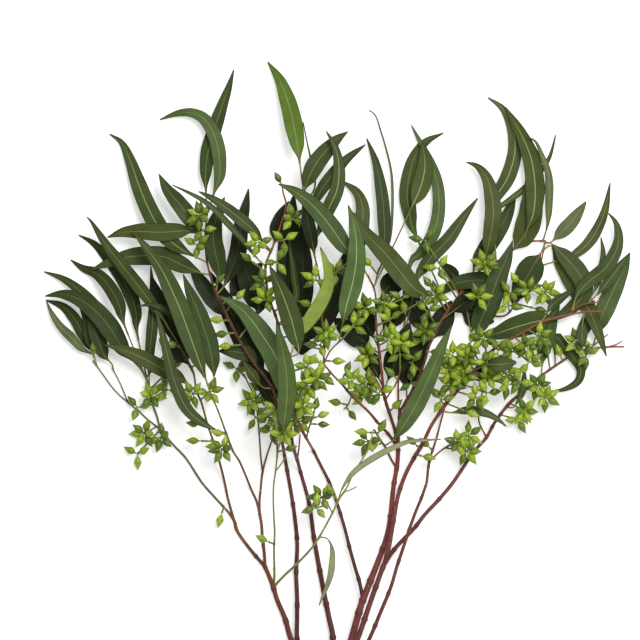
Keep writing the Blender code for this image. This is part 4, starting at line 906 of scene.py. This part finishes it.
def lay_umbel(heights, twigs, umbel, number):
    """An umbel's hub above the nearest twig, clear of what lies below its buds."""
    x, y, count = umbel
    centre = plan((x, y))
    apart = ROOT_STEP * (number % UMBEL_ROOT_PLACES)
    (root_x, root_y, root_z), _ = nearest(twigs, centre, UMBEL_ROOT_BACK, apart)
    outward = Vector((centre[0] - root_x, centre[1] - root_y, 0.0))
    outward = outward.normalized() if outward.length > LEAST_AWAY else Vector((0.0, 1.0, 0.0))
    axis = (outward * AXIS_OUT + Vector((0.0, 0.0, AXIS_UP))).normalized()
    directions = bud_directions(count, axis, UMBEL_TURN[0] * x + UMBEL_TURN[1] * y)
    reach = PEDICEL_LENGTH + BUD_LENGTH
    if count <= len(LONE_BUD_RISES):
        directions = [(outward + Vector((0.0, 0.0, rise))).normalized() for rise in LONE_BUD_RISES[:count]]
        away = math.hypot(centre[0] - root_x, centre[1] - root_y)
        centre = centre - np.array(outward[:2]) * LONE_BUD_BACK * min(reach, away)
    xs, ys, lows, highs = [], [], [], []
    for direction in directions:
        for share in np.linspace(0.0, 1.0, BUD_SAMPLES_ALONG):
            in_bud = min(1.0, max(0.0, BUD_STRETCH * share - PEDICEL_SHARE))
            swell = BUD_RADIUS * max(PEDICEL_SWELL, math.sin(math.pi * in_bud))
            for angle in np.linspace(0.0, 2.0 * math.pi, BUD_SAMPLES_AROUND + 1)[:-1]:
                xs.append(centre[0] + direction.x * reach * share + swell * math.cos(angle))
                ys.append(centre[1] + direction.y * reach * share + swell * math.sin(angle))
                lows.append(direction.z * reach * share - swell)
                highs.append(direction.z * reach * share + swell)
    xs, ys, lows, highs = (np.array(values) for values in (xs, ys, lows, highs))
    near_root = np.hypot(xs - root_x, ys - root_y) < ROOT_AT_TWIG
    needed = (heights.needed(xs, ys, heights.other, heights.blades) - lows)[~near_root].max()
    hub_z = max(root_z + HUB_RISE, needed)
    radii = (PEDUNCLE_RADIUS,) * 2
    ends = (np.array((root_x, root_y)), centre + np.array(LEAST_STALK))
    stalk = Strip(ends, radii, (0.0, 0.0), radii, radii)
    over = stalk.place > ROOT_AT_TWIG
    if over.any():
        lack = (heights.needed(stalk.x, stalk.y, heights.other) + PEDUNCLE_RADIUS - root_z)[over]
        lever = np.maximum(stalk.place[over] / stalk.along[-1], LEAST_LEVER)
        hub_z = max(hub_z, root_z + (lack / lever).max())
    stalk.z = np.array((root_z, hub_z))
    heights.add(heights.buds, stalk.x, stalk.y, stalk.blend(stalk.z) + PEDUNCLE_RADIUS)
    heights.add(heights.buds, xs, ys, hub_z + highs)
    return Vector((root_x, root_y, root_z)), Vector((centre[0], centre[1], hub_z)), directions


def lay_woody_base(heights):
    """All bare stems from the cut end to the feet of the sprays, by name."""
    laid = {}
    for name, parent, start, end, points in WOODY_STEMS:
        if parent is None:
            root_z = start / 2.0 * math.cos(math.pi / WOODY_SIDES)
        else:
            (x, y, root_z), _ = nearest([laid[parent]], plan(points[0]), 0.0)
            points = (sheet((x, y)),) + points[1:]
        laid[name] = lay_stem(heights, points, start, end, WOODY_SIDES, root_z, 0.0)
    return laid


def sheet(place):
    """Millimetres from the part's origin as a plan point of the sheet."""
    return (place[0] + SHEET_CENTRE[0], SHEET_CENTRE[1] - place[1])


def lay_spray(heights, foot, stems, under, below, umbels, above):
    """Everything of one spray, on the foot that the woody base ends in."""
    drawn = [stem_strip(points, start, end, TWIG_SIDES) for _, start, end, points in stems]
    lowest_leaves = [lay_leaf(heights, drawn, leaf, number) for number, leaf in enumerate(under)]
    twigs = {}
    for name, start, end, points in stems:
        joint = () if twigs else (JOINT_GAP, foot.heading[-1])
        x, y, root_z = (*foot.middle[-1], foot.z[-1])
        if twigs:
            (x, y, root_z), _ = nearest(twigs.values(), plan(points[0]), 0.0)
        points = (sheet((x, y)),) + points[1:]
        twigs[name] = lay_stem(heights, points, start, end, TWIG_SIDES, root_z, TWIG_END_RISE, *joint)
    strips = list(twigs.values())
    for leaf in lowest_leaves:
        leaf.z[0] = nearest(strips, leaf.middle[0], 0.0)[0][2]
    lower_leaves = [lay_leaf(heights, strips, leaf, number) for number, leaf in enumerate(below)]
    buds = [lay_umbel(heights, strips, umbel, number) for number, umbel in enumerate(umbels)]
    upper_leaves = [lay_leaf(heights, strips, leaf, number) for number, leaf in enumerate(above, len(below))]
    return twigs, lowest_leaves + lower_leaves + upper_leaves, buds


def linear(hex_colour):
    """An sRGB hex colour as linear red, green, blue and a full alpha."""
    channels = [int(hex_colour[index:index + 2], 16) / 255.0 for index in (1, 3, 5)]
    return tuple(c / 12.92 if c <= 0.04045 else ((c + 0.055) / 1.055) ** 2.4 for c in channels) + (1.0,)


def mixed(start, end, share):
    """A colour between two hex colours, linear, with a full alpha."""
    return tuple(a + (b - a) * share for a, b in zip(linear(start), linear(end)))


def hashed(*numbers):
    """A fixed number from 0 to 1 that looks random, the same on each run."""
    value = math.sin(sum(number * weight for number, weight in zip(numbers, HASH_WEIGHTS))) * HASH_SCALE
    return value - math.floor(value)


def rounded(values, reach):
    """Values with their corners rounded over a few places to each side, both ends kept."""
    weights = np.exp(-0.5 * (np.arange(-3 * reach, 3 * reach + 1) / reach) ** 2)
    mirrored_start = 2.0 * values[0] - values[3 * reach:0:-1]
    mirrored_end = 2.0 * values[-1] - values[-2:-3 * reach - 2:-1]
    padded = np.concatenate((mirrored_start, values, mirrored_end))
    return np.convolve(padded, weights / weights.sum(), mode="valid")


def set_attribute(mesh, name, kind, values):
    """Store a value for each point of a mesh, for its material to read."""
    attribute = mesh.attributes.new(name, kind, "POINT")
    field = {"FLOAT": "value", "FLOAT_VECTOR": "vector", "FLOAT_COLOR": "color"}[kind]
    attribute.data.foreach_set(field, np.asarray(values, dtype=np.float32).ravel())


def only(piece):
    """Make one object the only selected and the active one."""
    bpy.ops.object.select_all(action="DESELECT")
    piece.select_set(True)
    bpy.context.view_layer.objects.active = piece


def bare_mesh(piece):
    """An object's mesh without its texture coordinates; the object itself is removed."""
    mesh = piece.data
    for layer in list(mesh.uv_layers):
        mesh.uv_layers.remove(layer)
    bpy.data.objects.remove(piece)
    return mesh


def plain_grid(across, along):
    """A flat grid, across from -1 to 1 and along from -1 to 1, to be bent into a leaf or rolled."""
    bpy.ops.object.select_all(action="DESELECT")
    bpy.ops.mesh.primitive_grid_add(x_subdivisions=across, y_subdivisions=along, size=2.0)
    return bare_mesh(bpy.context.active_object)


def grid_places(mesh):
    """Each point of a plain grid: across from -1 to 1, share along from 0 to 1."""
    places = np.empty(3 * len(mesh.vertices))
    mesh.vertices.foreach_get("co", places)
    places = places.reshape(-1, 3)
    return places[:, 0], (places[:, 1] + 1.0) / 2.0


def placed_copy(template, points):
    """A copy of a template mesh with its points, in millimetres, put in place."""
    mesh = template.copy()
    points[:, 2] = np.maximum(points[:, 2], LOWEST_POINT)
    mesh.vertices.foreach_set("co", (points * MM).ravel())
    mesh.update()
    return mesh


def join(name, meshes):
    """One object from several meshes that are already in place."""
    pieces = []
    for mesh in meshes:
        piece = bpy.data.objects.new(name, mesh)
        bpy.context.scene.collection.objects.link(piece)
        pieces.append(piece)
    only(pieces[0])
    for piece in pieces:
        piece.select_set(True)
    if len(pieces) > 1:
        bpy.ops.object.join()
    joined = bpy.context.view_layer.objects.active
    joined.name = name
    joined.data.name = name
    return joined


def smooth(piece, degrees):
    only(piece)
    bpy.ops.object.shade_smooth_by_angle(angle=math.radians(degrees))


def route_frames(points):
    """Unit directions along a route, square to it sideways and square to both upwards."""
    forward = np.gradient(points, axis=0)
    forward /= np.linalg.norm(forward, axis=1)[:, None]
    side = np.stack((forward[:, 1], -forward[:, 0], np.zeros(len(points))), axis=1)
    side /= np.maximum(np.linalg.norm(side, axis=1), LEAST_LENGTH)[:, None]
    return forward, side, np.cross(side, forward)


def tube(grids, points, radii, colours, colour_name="stem_colour"):
    """A round stem along a route: a grid rolled into a sleeve and closed at both ends."""
    rings = len(points)
    if rings not in grids:
        grids[rings] = plain_grid(TUBE_SIDES, rings + 1)
    across, share = grid_places(grids[rings])
    _, side, above = route_frames(points)
    ring = np.clip(np.rint(share * (rings + 1)).astype(int) - 1, 0, rings - 1)
    closed = (share < END_RING) | (share > 1.0 - END_RING)
    radius = np.where(closed, 0.0, radii[ring])
    angle = math.pi * across
    places = points[ring] + radius[:, None] * (np.sin(angle)[:, None] * side[ring]
                                               + np.cos(angle)[:, None] * above[ring])
    mesh = placed_copy(grids[rings], places)
    set_attribute(mesh, colour_name, "FLOAT_COLOR", colours[ring])
    return mesh


def close_seams(piece):
    """Join the rolled grids' edges, and turn all faces outwards."""
    only(piece)
    bpy.ops.object.mode_set(mode="EDIT")
    bpy.ops.mesh.select_all(action="SELECT")
    bpy.ops.mesh.remove_doubles(threshold=SEAM * MM)
    bpy.ops.mesh.normals_make_consistent(inside=False)
    bpy.ops.object.mode_set(mode="OBJECT")


def stem_tube(grids, strip, start, end, colour, cut=False):
    """A laid stem, swollen a little at every leaf, umbel and fork; cut shows pale wood at its root."""
    run = smooth_run(list(strip.middle))
    run_along = distances(run)
    place = np.linspace(0.0, run_along[-1], max(FEWEST_RINGS, int(run_along[-1] / TUBE_STEP)))
    share = place / run_along[-1]
    length = strip.along[-1]
    dense = np.linspace(0.0, length, max(FEWEST_HEIGHTS, int(length)))
    height = rounded(np.interp(dense, strip.along, strip.z), STEM_ROUNDING)
    scars = []
    if start >= SCARRED_STEM:
        scars = list(np.arange(SCAR_SPACING * (FIRST_SCAR + FIRST_SCAR * hashed(start, end)),
                               length, SCAR_SPACING))
    swell = np.zeros(len(place))
    for node in strip.nodes + scars:
        swell = np.maximum(swell, np.exp(-((share * length - node) / NODE_SPREAD) ** 2))
    radii = (start + (end - start) * share) / 2.0 * (1.0 + NODE_SWELL * swell)
    points = np.stack([np.interp(place, run_along, values) for values in run.T]
                      + [np.interp(share * length, dense, height)], axis=1)
    colours = np.array([mixed(*colour, part) for part in share])
    colours[:, :3] *= (1.0 - NODE_SHADE * swell)[:, None]
    if cut:
        back = points[0] - points[1]
        back *= CUT_DEPTH / np.linalg.norm(back)
        points = np.vstack((points[0] + 2.0 * back, points[0] + back, points))
        radii = np.concatenate(((CUT_HEART_SHARE * radii[0], CUT_WOOD_SHARE * radii[0]), radii))
        colours = np.vstack(([linear(CUT_WOOD)] * 2, colours))
    return tube(grids, points, radii, colours)


def blade(template, strip, number):
    """A leaf's blade, bent, tapered and folded along its laid strip."""
    across, share = grid_places(template)
    length = strip.run_along[-1]
    start = BLADE_START * strip.places[1]
    place = start + (length - start) * share
    dense = np.arange(0.0, length + 1.0)
    reach = max(2, int(OUTLINE_ROUNDING * length))

    def along(places, values, rounding):
        """Values along the strip, rounded a little, at each point of the blade."""
        return np.interp(place, dense, rounded(np.interp(dense, places, values), rounding))

    half = along(strip.places, strip.half, reach)
    rise = along(strip.places, strip.tilt, reach)
    height = along(strip.places, strip.z, BLADE_ROUNDING)
    run = np.stack([rounded(np.interp(dense, strip.run_along, values), RUN_ROUNDING)
                    for values in strip.run.T], axis=1)
    heading = np.gradient(run, axis=0)
    heading /= np.linalg.norm(heading, axis=1)[:, None]
    side_x, side_y = np.interp(place, dense, heading[:, 1]), np.interp(place, dense, -heading[:, 0])
    size = np.clip(half / FULL_HALF_WIDTH, 0.0, MOST_FOLD)
    turns = 2.0 * math.pi * (place / LEAF_WAVE_LENGTH + hashed(number))
    wave = np.sin(turns + WAVE_OFFSET * np.sign(across))
    lift = LEAF_FOLD * size * (np.abs(across) - FOLD_MIDDLE) + LEAF_WAVE * size * across ** 2 * wave
    x = np.interp(place, dense, run[:, 0]) + side_x * half * across
    y = np.interp(place, dense, run[:, 1]) + side_y * half * across
    mesh = placed_copy(template, np.stack((x, y, height + rise * across + lift), axis=1))
    full = np.hypot(half, rise)
    colour, rib = LEAF_TONES[strip.tone]
    shade = TONE_RANGE[0] + TONE_RANGE[1] * hashed(number, length)
    tone = np.tile(np.array(linear(colour)) * shade, (len(x), 1))
    tone[:, 3] = rib
    set_attribute(mesh, "leaf_colour", "FLOAT_COLOR", tone)
    set_attribute(mesh, "leaf_mm", "FLOAT_VECTOR",
                  np.stack((np.abs(across) * full, (1.0 - np.abs(across)) * full, place), axis=1))
    set_attribute(mesh, "leaf_share", "FLOAT", share)
    return mesh


def petiole(grids, strip):
    """The leaf's stalk, from inside its twig to a little way under the blade."""
    end = strip.places[1] + PETIOLE_UNDER_BLADE
    place = np.linspace(0.0, end, PETIOLE_RINGS)
    points = np.stack([np.interp(place, strip.run_along, values) for values in strip.run.T]
                      + [np.interp(place, strip.places, strip.z) - PETIOLE_SINK], axis=1)
    radii = np.interp(place, (0.0, strip.places[1], end), PETIOLE_RADII)
    share = PETIOLE_TINT * (place / end)[:, None]
    leaf = np.array(linear(LEAF_TONES[strip.tone][0]))
    colours = np.array(linear(PETIOLE_COLOUR)) * (1.0 - share) + leaf * share
    # No rib shows on a petiole
    colours[:, 3] = 0.0
    mesh = tube(grids, points, radii, colours, "leaf_colour")
    count = len(mesh.vertices)
    set_attribute(mesh, "leaf_mm", "FLOAT_VECTOR", np.full((count, 3), FAR_FROM_RIB))
    set_attribute(mesh, "leaf_share", "FLOAT", np.zeros(count))
    return mesh


def plain_bud():
    """A bud on its pedicel, standing on the hub: a circle drawn out ring by ring to a pointed cap."""
    bpy.ops.object.select_all(action="DESELECT")
    height, radius = BUD_PROFILE[0]
    bpy.ops.mesh.primitive_circle_add(vertices=BUD_SIDES, radius=radius * MM, fill_type="NGON",
                                      location=(0.0, 0.0, height * MM))
    bpy.ops.object.transform_apply(location=True)
    bpy.ops.object.mode_set(mode="EDIT")
    tip = PEDICEL_LENGTH + BUD_LENGTH
    for next_height, next_radius in BUD_PROFILE[1:] + ((tip, BUD_POINT),):
        step = (0.0, 0.0, (next_height - height) * MM)
        bpy.ops.mesh.extrude_region_move(TRANSFORM_OT_translate={"value": step})
        bpy.ops.transform.resize(value=(next_radius / radius, next_radius / radius, 1.0))
        height, radius = next_height, next_radius
    bpy.ops.mesh.select_all(action="SELECT")
    bpy.ops.mesh.normals_make_consistent(inside=False)
    bpy.ops.object.mode_set(mode="OBJECT")
    mesh = bare_mesh(bpy.context.active_object)
    heights = np.array([vertex.co.z for vertex in mesh.vertices]) / MM
    set_attribute(mesh, "bud_height", "FLOAT", heights)
    return mesh


def umbel_meshes(template, grids, umbel, number):
    """The buds of one umbel round its hub, and the stalk that carries them."""
    root, centre, directions = umbel
    meshes = []
    for index, direction in enumerate(directions):
        seed = hashed(number, index)
        size = BUD_SIZES[0] + BUD_SIZES[1] * hashed(number, index, BUD_SIZE_SEED)
        turn = direction.to_track_quat("Z", "Y").to_matrix().to_4x4()
        spin = Matrix.Rotation(2.0 * math.pi * seed, 4, "Z")
        mesh = template.copy()
        mesh.transform(Matrix.Translation(centre * MM) @ turn @ spin @ Matrix.Scale(size, 4))
        colour = np.array(linear(BUD_COLOURS[int(seed * len(BUD_COLOURS))]))
        set_attribute(mesh, "bud_colour", "FLOAT_COLOR", np.tile(colour, (len(mesh.vertices), 1)))
        meshes.append(mesh)
    shares = np.linspace(0.0, 1.0, STALK_RINGS)
    points = np.array([tuple(root.lerp(centre, share)) for share in shares])
    points[:, 2] -= STALK_SAG * np.sin(math.pi * shares)
    radii = np.interp(shares, STALK_STATIONS, STALK_RADII)
    ends = LONG_STALK_COLOURS if (centre - root).length > LONG_STALK else STALK_COLOURS
    colours = np.array([mixed(*ends, share) for share in shares])
    stalk = tube(grids, points, radii, colours, "bud_colour")
    set_attribute(stalk, "bud_height", "FLOAT", np.full(len(stalk.vertices), STALK_HEIGHT))
    return meshes + [stalk]


def add(material, kind, settings=(), links=()):
    """Add a shader node with its settings and links, and give its outputs."""
    made = material.node_tree.nodes.new(kind)
    for key, value in dict(settings).items():
        if isinstance(key, str) and hasattr(made, key):
            setattr(made, key, value)
        else:
            made.inputs[key].default_value = value
    for key, socket in dict(links).items():
        material.node_tree.links.new(socket, made.inputs[key])
    return made.outputs


def new_material(name, roughness, shine):
    material = bpy.data.materials.new(name)
    material.use_nodes = True
    shader = material.node_tree.nodes["Principled BSDF"]
    shader.inputs["Roughness"].default_value = roughness
    shader.inputs["Specular IOR Level"].default_value = shine
    return material, shader


def smooth_rise(low, high, start, end):
    """Settings that turn a value's range from low to high smoothly into one from start to end."""
    return {"interpolation_type": "SMOOTHSTEP", "From Min": low, "From Max": high,
            "To Min": start, "To Max": end}


def grain(material, size_mm, detail=NOISE_DETAIL):
    """Cloudy pattern fixed to the piece, with patches of about a size in millimetres."""
    place = add(material, "ShaderNodeTexCoord")["Object"]
    settings = {"Scale": 1.0 / (size_mm * MM), "Detail": detail}
    return add(material, "ShaderNodeTexNoise", settings, {"Vector": place})["Fac"]


def clouded(material, base, size_mm, darkest, lightest):
    """A colour that is a little darker and lighter in clouds."""
    rise = smooth_rise(*CLOUD_NOISE, darkest, lightest)
    cloud = add(material, "ShaderNodeMapRange", rise, {"Value": grain(material, size_mm)})["Result"]
    grey = add(material, "ShaderNodeCombineColor", links={0: cloud, 1: cloud, 2: cloud})[0]
    settings = {"data_type": "RGBA", "blend_type": "MULTIPLY", "Factor": 1.0}
    return add(material, "ShaderNodeMix", settings, {COLOUR_A: base, COLOUR_B: grey})[COLOUR_RESULT]


def banded(material, base, value, band):
    """A colour that turns into another one along a value."""
    colour, value_range, mix = band
    rise = smooth_rise(*value_range, *mix)
    factor = add(material, "ShaderNodeMapRange", rise, {"Value": value})["Result"]
    settings = {"data_type": "RGBA", COLOUR_B: linear(colour)}
    return add(material, "ShaderNodeMix", settings, {"Factor": factor, COLOUR_A: base})[COLOUR_RESULT]


def patched(material, base, patches):
    """A colour with patches of another one where a noise is high."""
    colour, size_mm, detail, noise_range, most = patches
    return banded(material, base, grain(material, size_mm, detail), (colour, noise_range, (0.0, most)))


def finish_look(material, shader, colour, relief, bump):
    """Give the shader its colour and a bump from a relief."""
    strength, depth_mm = bump
    settings = {"Strength": strength, "Distance": depth_mm * MM}
    normal = add(material, "ShaderNodeBump", settings, {"Height": relief})["Normal"]
    material.node_tree.links.new(colour, shader.inputs["Base Color"])
    material.node_tree.links.new(normal, shader.inputs["Normal"])
    return material


def leathery_leaf():
    """Living eucalyptus leaf: thick, leathery and waxy, so satin, with a pale rib and slanting veins."""
    material, shader = new_material("leathery_leaf", *LEAF_FINISH)
    tone = add(material, "ShaderNodeAttribute", {"attribute_name": "leaf_colour"})
    leaf_mm = add(material, "ShaderNodeAttribute", {"attribute_name": "leaf_mm"})["Vector"]
    rib, edge, place = add(material, "ShaderNodeSeparateXYZ", links={0: leaf_mm})
    share = add(material, "ShaderNodeAttribute", {"attribute_name": "leaf_share"})["Fac"]
    colour = clouded(material, tone["Color"], *LEAF_CLOUD)
    colour = patched(material, colour, LEAF_BLOOM)
    # Side veins: waves along the leaf that slant away from the rib and wander a little
    slant = add(material, "ShaderNodeMath", {"operation": "MULTIPLY", 1: VEIN_SLANT}, {0: rib})[0]
    slant = add(material, "ShaderNodeMath", {"operation": "SUBTRACT"}, {0: place, 1: slant})[0]
    unrest = grain(material, VEIN_UNREST_SIZE)
    unrest = add(material, "ShaderNodeMath", {"operation": "MULTIPLY", 1: VEIN_UNREST}, {0: unrest})[0]
    slant = add(material, "ShaderNodeMath", {"operation": "ADD"}, {0: slant, 1: unrest})[0]
    turn = 2.0 * math.pi / VEIN_SPACING
    vein = add(material, "ShaderNodeMath", {"operation": "MULTIPLY", 1: turn}, {0: slant})[0]
    vein = add(material, "ShaderNodeMath", {"operation": "SINE"}, {0: vein})[0]
    vein = add(material, "ShaderNodeMapRange", smooth_rise(*VEIN_LINE), {"Value": vein})["Result"]
    settings = {"data_type": "RGBA", COLOUR_B: linear(VEIN_COLOUR)}
    colour = add(material, "ShaderNodeMix", settings, {"Factor": vein, COLOUR_A: colour})[COLOUR_RESULT]
    # Midrib: a line that fades towards the tip, as strong as the leaf's tone says
    fade = add(material, "ShaderNodeMapRange", smooth_rise(*RIB_FADE), {"Value": share})["Result"]
    line = add(material, "ShaderNodeMapRange", smooth_rise(*RIB_LINE), {"Value": rib})["Result"]
    line = add(material, "ShaderNodeMath", {"operation": "MULTIPLY"}, {0: line, 1: fade})[0]
    line = add(material, "ShaderNodeMath", {"operation": "MULTIPLY"}, {0: line, 1: tone["Alpha"]})[0]
    settings = {"data_type": "RGBA", COLOUR_B: linear(RIB_COLOUR)}
    colour = add(material, "ShaderNodeMix", settings, {"Factor": line, COLOUR_A: colour})[COLOUR_RESULT]
    colour = banded(material, colour, edge, LEAF_EDGE)
    colour = banded(material, colour, share, LEAF_TIP)
    colour = patched(material, colour, LEAF_SPECK)
    relief = add(material, "ShaderNodeMath", {"operation": "MULTIPLY", 1: VEIN_RELIEF}, {0: vein})[0]
    groove = add(material, "ShaderNodeMapRange", smooth_rise(*RIB_RELIEF), {"Value": rib})["Result"]
    relief = add(material, "ShaderNodeMath", {"operation": "ADD"}, {0: relief, 1: groove})[0]
    return finish_look(material, shader, colour, relief, LEAF_BUMP)


def green_bud_skin():
    """Fresh bud: a smooth, slightly glossy lime skin with painted shade at its base, darker at the cup's
    rim, and a paler pointed cap whose tip is partly a painted highlight.
    """
    material, shader = new_material("green_bud_skin", *BUD_FINISH)
    height = add(material, "ShaderNodeAttribute", {"attribute_name": "bud_height"})["Fac"]
    skin = add(material, "ShaderNodeAttribute", {"attribute_name": "bud_colour"})["Color"]
    colour = clouded(material, skin, *BUD_CLOUD)
    # Stalk colour, and painted shade at the bud's base
    colour = banded(material, colour, height, BUD_STALK_AND_BASE_SHADE)
    below_rim = {"operation": "SUBTRACT", 1: BUD_RIM_HEIGHT}
    from_rim = add(material, "ShaderNodeMath", below_rim, {0: height})[0]
    from_rim = add(material, "ShaderNodeMath", {"operation": "ABSOLUTE"}, {0: from_rim})[0]
    colour = banded(material, colour, from_rim, BUD_RIM)
    # Paler cap tip: the cap's own colour and a painted highlight
    colour = banded(material, colour, height, BUD_CAP_TIP_AND_HIGHLIGHT)
    return finish_look(material, shader, colour, grain(material, BUD_GRAIN), BUD_BUMP)


def smooth_bark():
    """Young bark: thin and smooth, satin, with small pale lenticels and darker scars."""
    material, shader = new_material("smooth_bark", *BARK_FINISH)
    skin = add(material, "ShaderNodeAttribute", {"attribute_name": "stem_colour"})["Color"]
    colour = clouded(material, skin, *BARK_CLOUD)
    colour = patched(material, colour, BARK_PORE)
    return finish_look(material, shader, colour, grain(material, BARK_GRAIN), BARK_BUMP)


def finish_piece(piece, node, material, degrees):
    smooth(piece, degrees)
    piece.data.materials.clear()
    piece.data.materials.append(material)
    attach(piece, "root")
    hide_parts(node)


def rolled(name, meshes):
    """One object from several meshes, with the seams of its rolled grids closed."""
    piece = join(name, meshes)
    close_seams(piece)
    return piece


def dress_woody_base(base, grids, bark):
    meshes = []
    for name, parent, start, end, _ in WOODY_STEMS:
        colour = WOODY_COLOURS.get(name, PLAIN_STEM)
        if parent is not None and name not in WOODY_COLOURS:
            colour = (WOODY_COLOURS.get(parent, PLAIN_STEM)[1], TWIG_COLOURS.get(name, PLAIN_STEM)[0])
        meshes.append(stem_tube(grids, base[name], start, end, colour, parent is None))
    finish_piece(rolled("woody_base_stems", meshes), "woody_base", bark, STEM_SMOOTHING)


def thick_leaves(name, strips, grids, blade_grid):
    """One object of a spray's blades, given their thickness, and their petioles."""
    meshes = [blade(blade_grid, strip, len(name) + BLADE_SEED * index) for index, strip in enumerate(strips)]
    blades = join(name + "_leaves", meshes)
    thicken = blades.modifiers.new("thickness", "SOLIDIFY")
    thicken.thickness = LEAF_THICKNESS * MM
    thicken.offset = 0.0
    only(blades)
    bpy.ops.object.modifier_apply(modifier=thicken.name)
    stalks = rolled(name + "_petioles", [petiole(grids, strip) for strip in strips])
    only(blades)
    stalks.select_set(True)
    bpy.ops.object.join()
    return blades


def dress_spray(name, stems, twigs, leaves, buds, templates, grids, materials):
    """The fine twigs, leaves and buds of one spray."""
    blade_grid, bud = templates
    bark, leaf_skin, bud_skin = materials
    meshes = [stem_tube(grids, twigs[stem], start, end, TWIG_COLOURS[name]) for stem, start, end, _ in stems]
    finish_piece(rolled(name + "_twigs", meshes), name, bark, STEM_SMOOTHING)
    if leaves:
        blades = thick_leaves(name, leaves, grids, blade_grid)
        finish_piece(blades, name, leaf_skin, LEAF_SMOOTHING)
    if buds:
        meshes = []
        for index, umbel in enumerate(buds):
            meshes += umbel_meshes(bud, grids, umbel, UMBEL_SEED * len(name) + index)
        finish_piece(rolled(name + "_buds", meshes), name, bud_skin, BUD_SMOOTHING)


def lay_table():
    """The plain white surface that the branch lies on."""
    bpy.ops.object.select_all(action="DESELECT")
    bpy.ops.mesh.primitive_plane_add(size=TABLE_SIZE, location=(0.0, 0.0, TABLE_LEVEL))
    table = bpy.context.active_object
    table.name = "white_table"
    material, shader = new_material("matt_white_board", TABLE_ROUGHNESS, TABLE_SHINE)
    shader.inputs["Base Color"].default_value = linear(TABLE_COLOUR)
    shader.inputs["Emission Color"].default_value = linear(TABLE_COLOUR)
    shader.inputs["Emission Strength"].default_value = TABLE_GLOW
    table.data.materials.append(material)


def light_and_camera():
    bpy.context.scene.view_settings.view_transform = "Standard"
    world = bpy.data.worlds.new("soft_room")
    world.use_nodes = True
    world.node_tree.nodes["Background"].inputs["Color"].default_value = (1.0, 1.0, 1.0, 1.0)
    world.node_tree.nodes["Background"].inputs["Strength"].default_value = ROOM_STRENGTH
    bpy.context.scene.world = world
    lamp = bpy.data.lights.new("window", "AREA")
    lamp.size = LAMP_SIZE
    lamp.energy = LAMP_POWER
    window = bpy.data.objects.new("window", lamp)
    bpy.context.scene.collection.objects.link(window)
    window.location = LAMP_PLACE
    window.rotation_mode = "QUATERNION"
    window.rotation_quaternion = (-Vector(LAMP_PLACE)).to_track_quat("-Z", "Y")
    lens = bpy.data.cameras.new("camera")
    lens.lens = CAMERA_LENS
    lens.sensor_width = CAMERA_SENSOR
    camera = bpy.data.objects.new("camera", lens)
    bpy.context.scene.collection.objects.link(camera)
    x, y = plan(PHOTO_CENTRE)
    height = PHOTO_SIDE * CAMERA_LENS / CAMERA_SENSOR + MEAN_LEAF_HEIGHT
    camera.location = (x * MM, y * MM, height * MM)
    bpy.context.scene.camera = camera


def dress():
    bpy.ops.object.select_all(action="DESELECT")
    materials = (smooth_bark(), leathery_leaf(), green_bud_skin())
    templates = (plain_grid(LEAF_ACROSS, LEAF_ALONG), plain_bud())
    grids = {}
    heights = Heights()
    base = lay_woody_base(heights)
    heights.next_spray()
    for name, stems, below, umbels, above in SPRAYS:
        under = UNDER_LEAVES.get(name, ())
        twigs, leaves, buds = lay_spray(heights, base[name], stems, under, below, umbels, above)
        heights.next_spray()
        dress_spray(name, stems, twigs, leaves, buds, templates, grids, materials)
    dress_woody_base(base, grids, materials[0])


dress()
lay_table()
light_and_camera()
